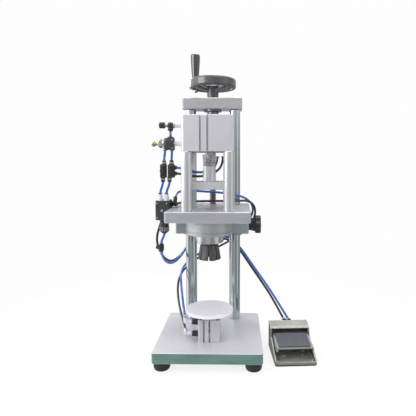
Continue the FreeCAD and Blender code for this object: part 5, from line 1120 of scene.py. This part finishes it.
def build_world():
    """White where it is seen; a pale studio with darker gaps between its lights where metal mirrors it."""
    world = bpy.data.worlds.new("studio")
    bpy.context.scene.world = world
    world.use_nodes = True
    tree = world.node_tree
    tree.nodes.clear()

    def worked(kind, *values):
        return add_node(tree, "ShaderNodeMath", dict(enumerate(values)), operation=kind)[0]

    place = add_node(tree, "ShaderNodeTexCoord")["Generated"]
    across, ahead, upward = add_node(tree, "ShaderNodeSeparateXYZ", {0: place})
    compass = worked("ARCTAN2", across, worked("MULTIPLY", ahead, -1.0))
    share = worked("ADD", worked("DIVIDE", compass, 2 * math.pi), 0.5)
    ramp = tree.nodes.new("ShaderNodeValToRGB")
    stops = ramp.color_ramp.elements
    for degrees, tone in STUDIO_TONES[1:-1]:
        stops.new(degrees / 360 + 0.5).color = (tone, tone, tone, 1.0)
    for end, (degrees, tone) in ((0, STUDIO_TONES[0]), (-1, STUDIO_TONES[-1])):
        stops[end].color = (tone, tone, tone, 1.0)
    tree.links.new(share, ramp.inputs[0])
    risen = worked("MULTIPLY", worked("MAXIMUM", upward, 0.0), SKY_LIFT)
    mirrored = worked("ADD", ramp.outputs[0], worked("MINIMUM", risen, SKY_LIFT_LIMIT))
    rays = add_node(tree, "ShaderNodeLightPath")
    shiny = worked("MAXIMUM", rays["Is Glossy Ray"], rays["Is Transmission Ray"])
    added = worked("MULTIPLY", shiny, worked("SUBTRACT", mirrored, STUDIO_LEVEL))
    unseen = worked("ADD", STUDIO_LEVEL, added)
    seen = worked("MULTIPLY", rays["Is Camera Ray"], worked("SUBTRACT", BACKGROUND, unseen))
    inputs = {"Color": WHITE, "Strength": worked("ADD", unseen, seen)}
    background = add_node(tree, "ShaderNodeBackground", inputs)[0]
    add_node(tree, "ShaderNodeOutputWorld", {"Surface": background})


# Name, place, size across and up, strength in watts
SOFTBOXES = (
    ("key_left", (-1.30, -0.95, 1.20), (1.00, 1.30), 18.0),
    ("fill_right", (1.30, -0.90, 0.90), (0.45, 1.20), 8.0),
    ("overhead", (0.10, 0.10, 1.70), (1.20, 0.90), 12.0),
    ("rear_left", (-0.90, 1.10, 0.90), (0.50, 1.00), 6.0),
)
# Lights that shine but that no gloss mirrors
UNMIRRORED = ("fill_right",)
AIM = Vector((0.02, 0.0, 0.34))


def build_lights():
    """Soft lights, all aimed at the machine's middle."""
    for name, place, size, power in SOFTBOXES:
        data = bpy.data.lights.new(name, "AREA")
        data.shape = "RECTANGLE"
        data.size, data.size_y = size
        data.energy = power
        lamp = bpy.data.objects.new(name, data)
        lamp.location = place
        lamp.rotation_euler = (AIM - Vector(place)).to_track_quat("-Z", "Y").to_euler()
        lamp.visible_glossy = name not in UNMIRRORED
        bpy.context.scene.collection.objects.link(lamp)


bpy.context.scene.view_settings.view_transform = "Standard"
dress_cad_nodes()
build_camera()
build_pieces(build_tubes())
build_floor()
build_world()
build_lights()

bpy.context.view_layer.update()
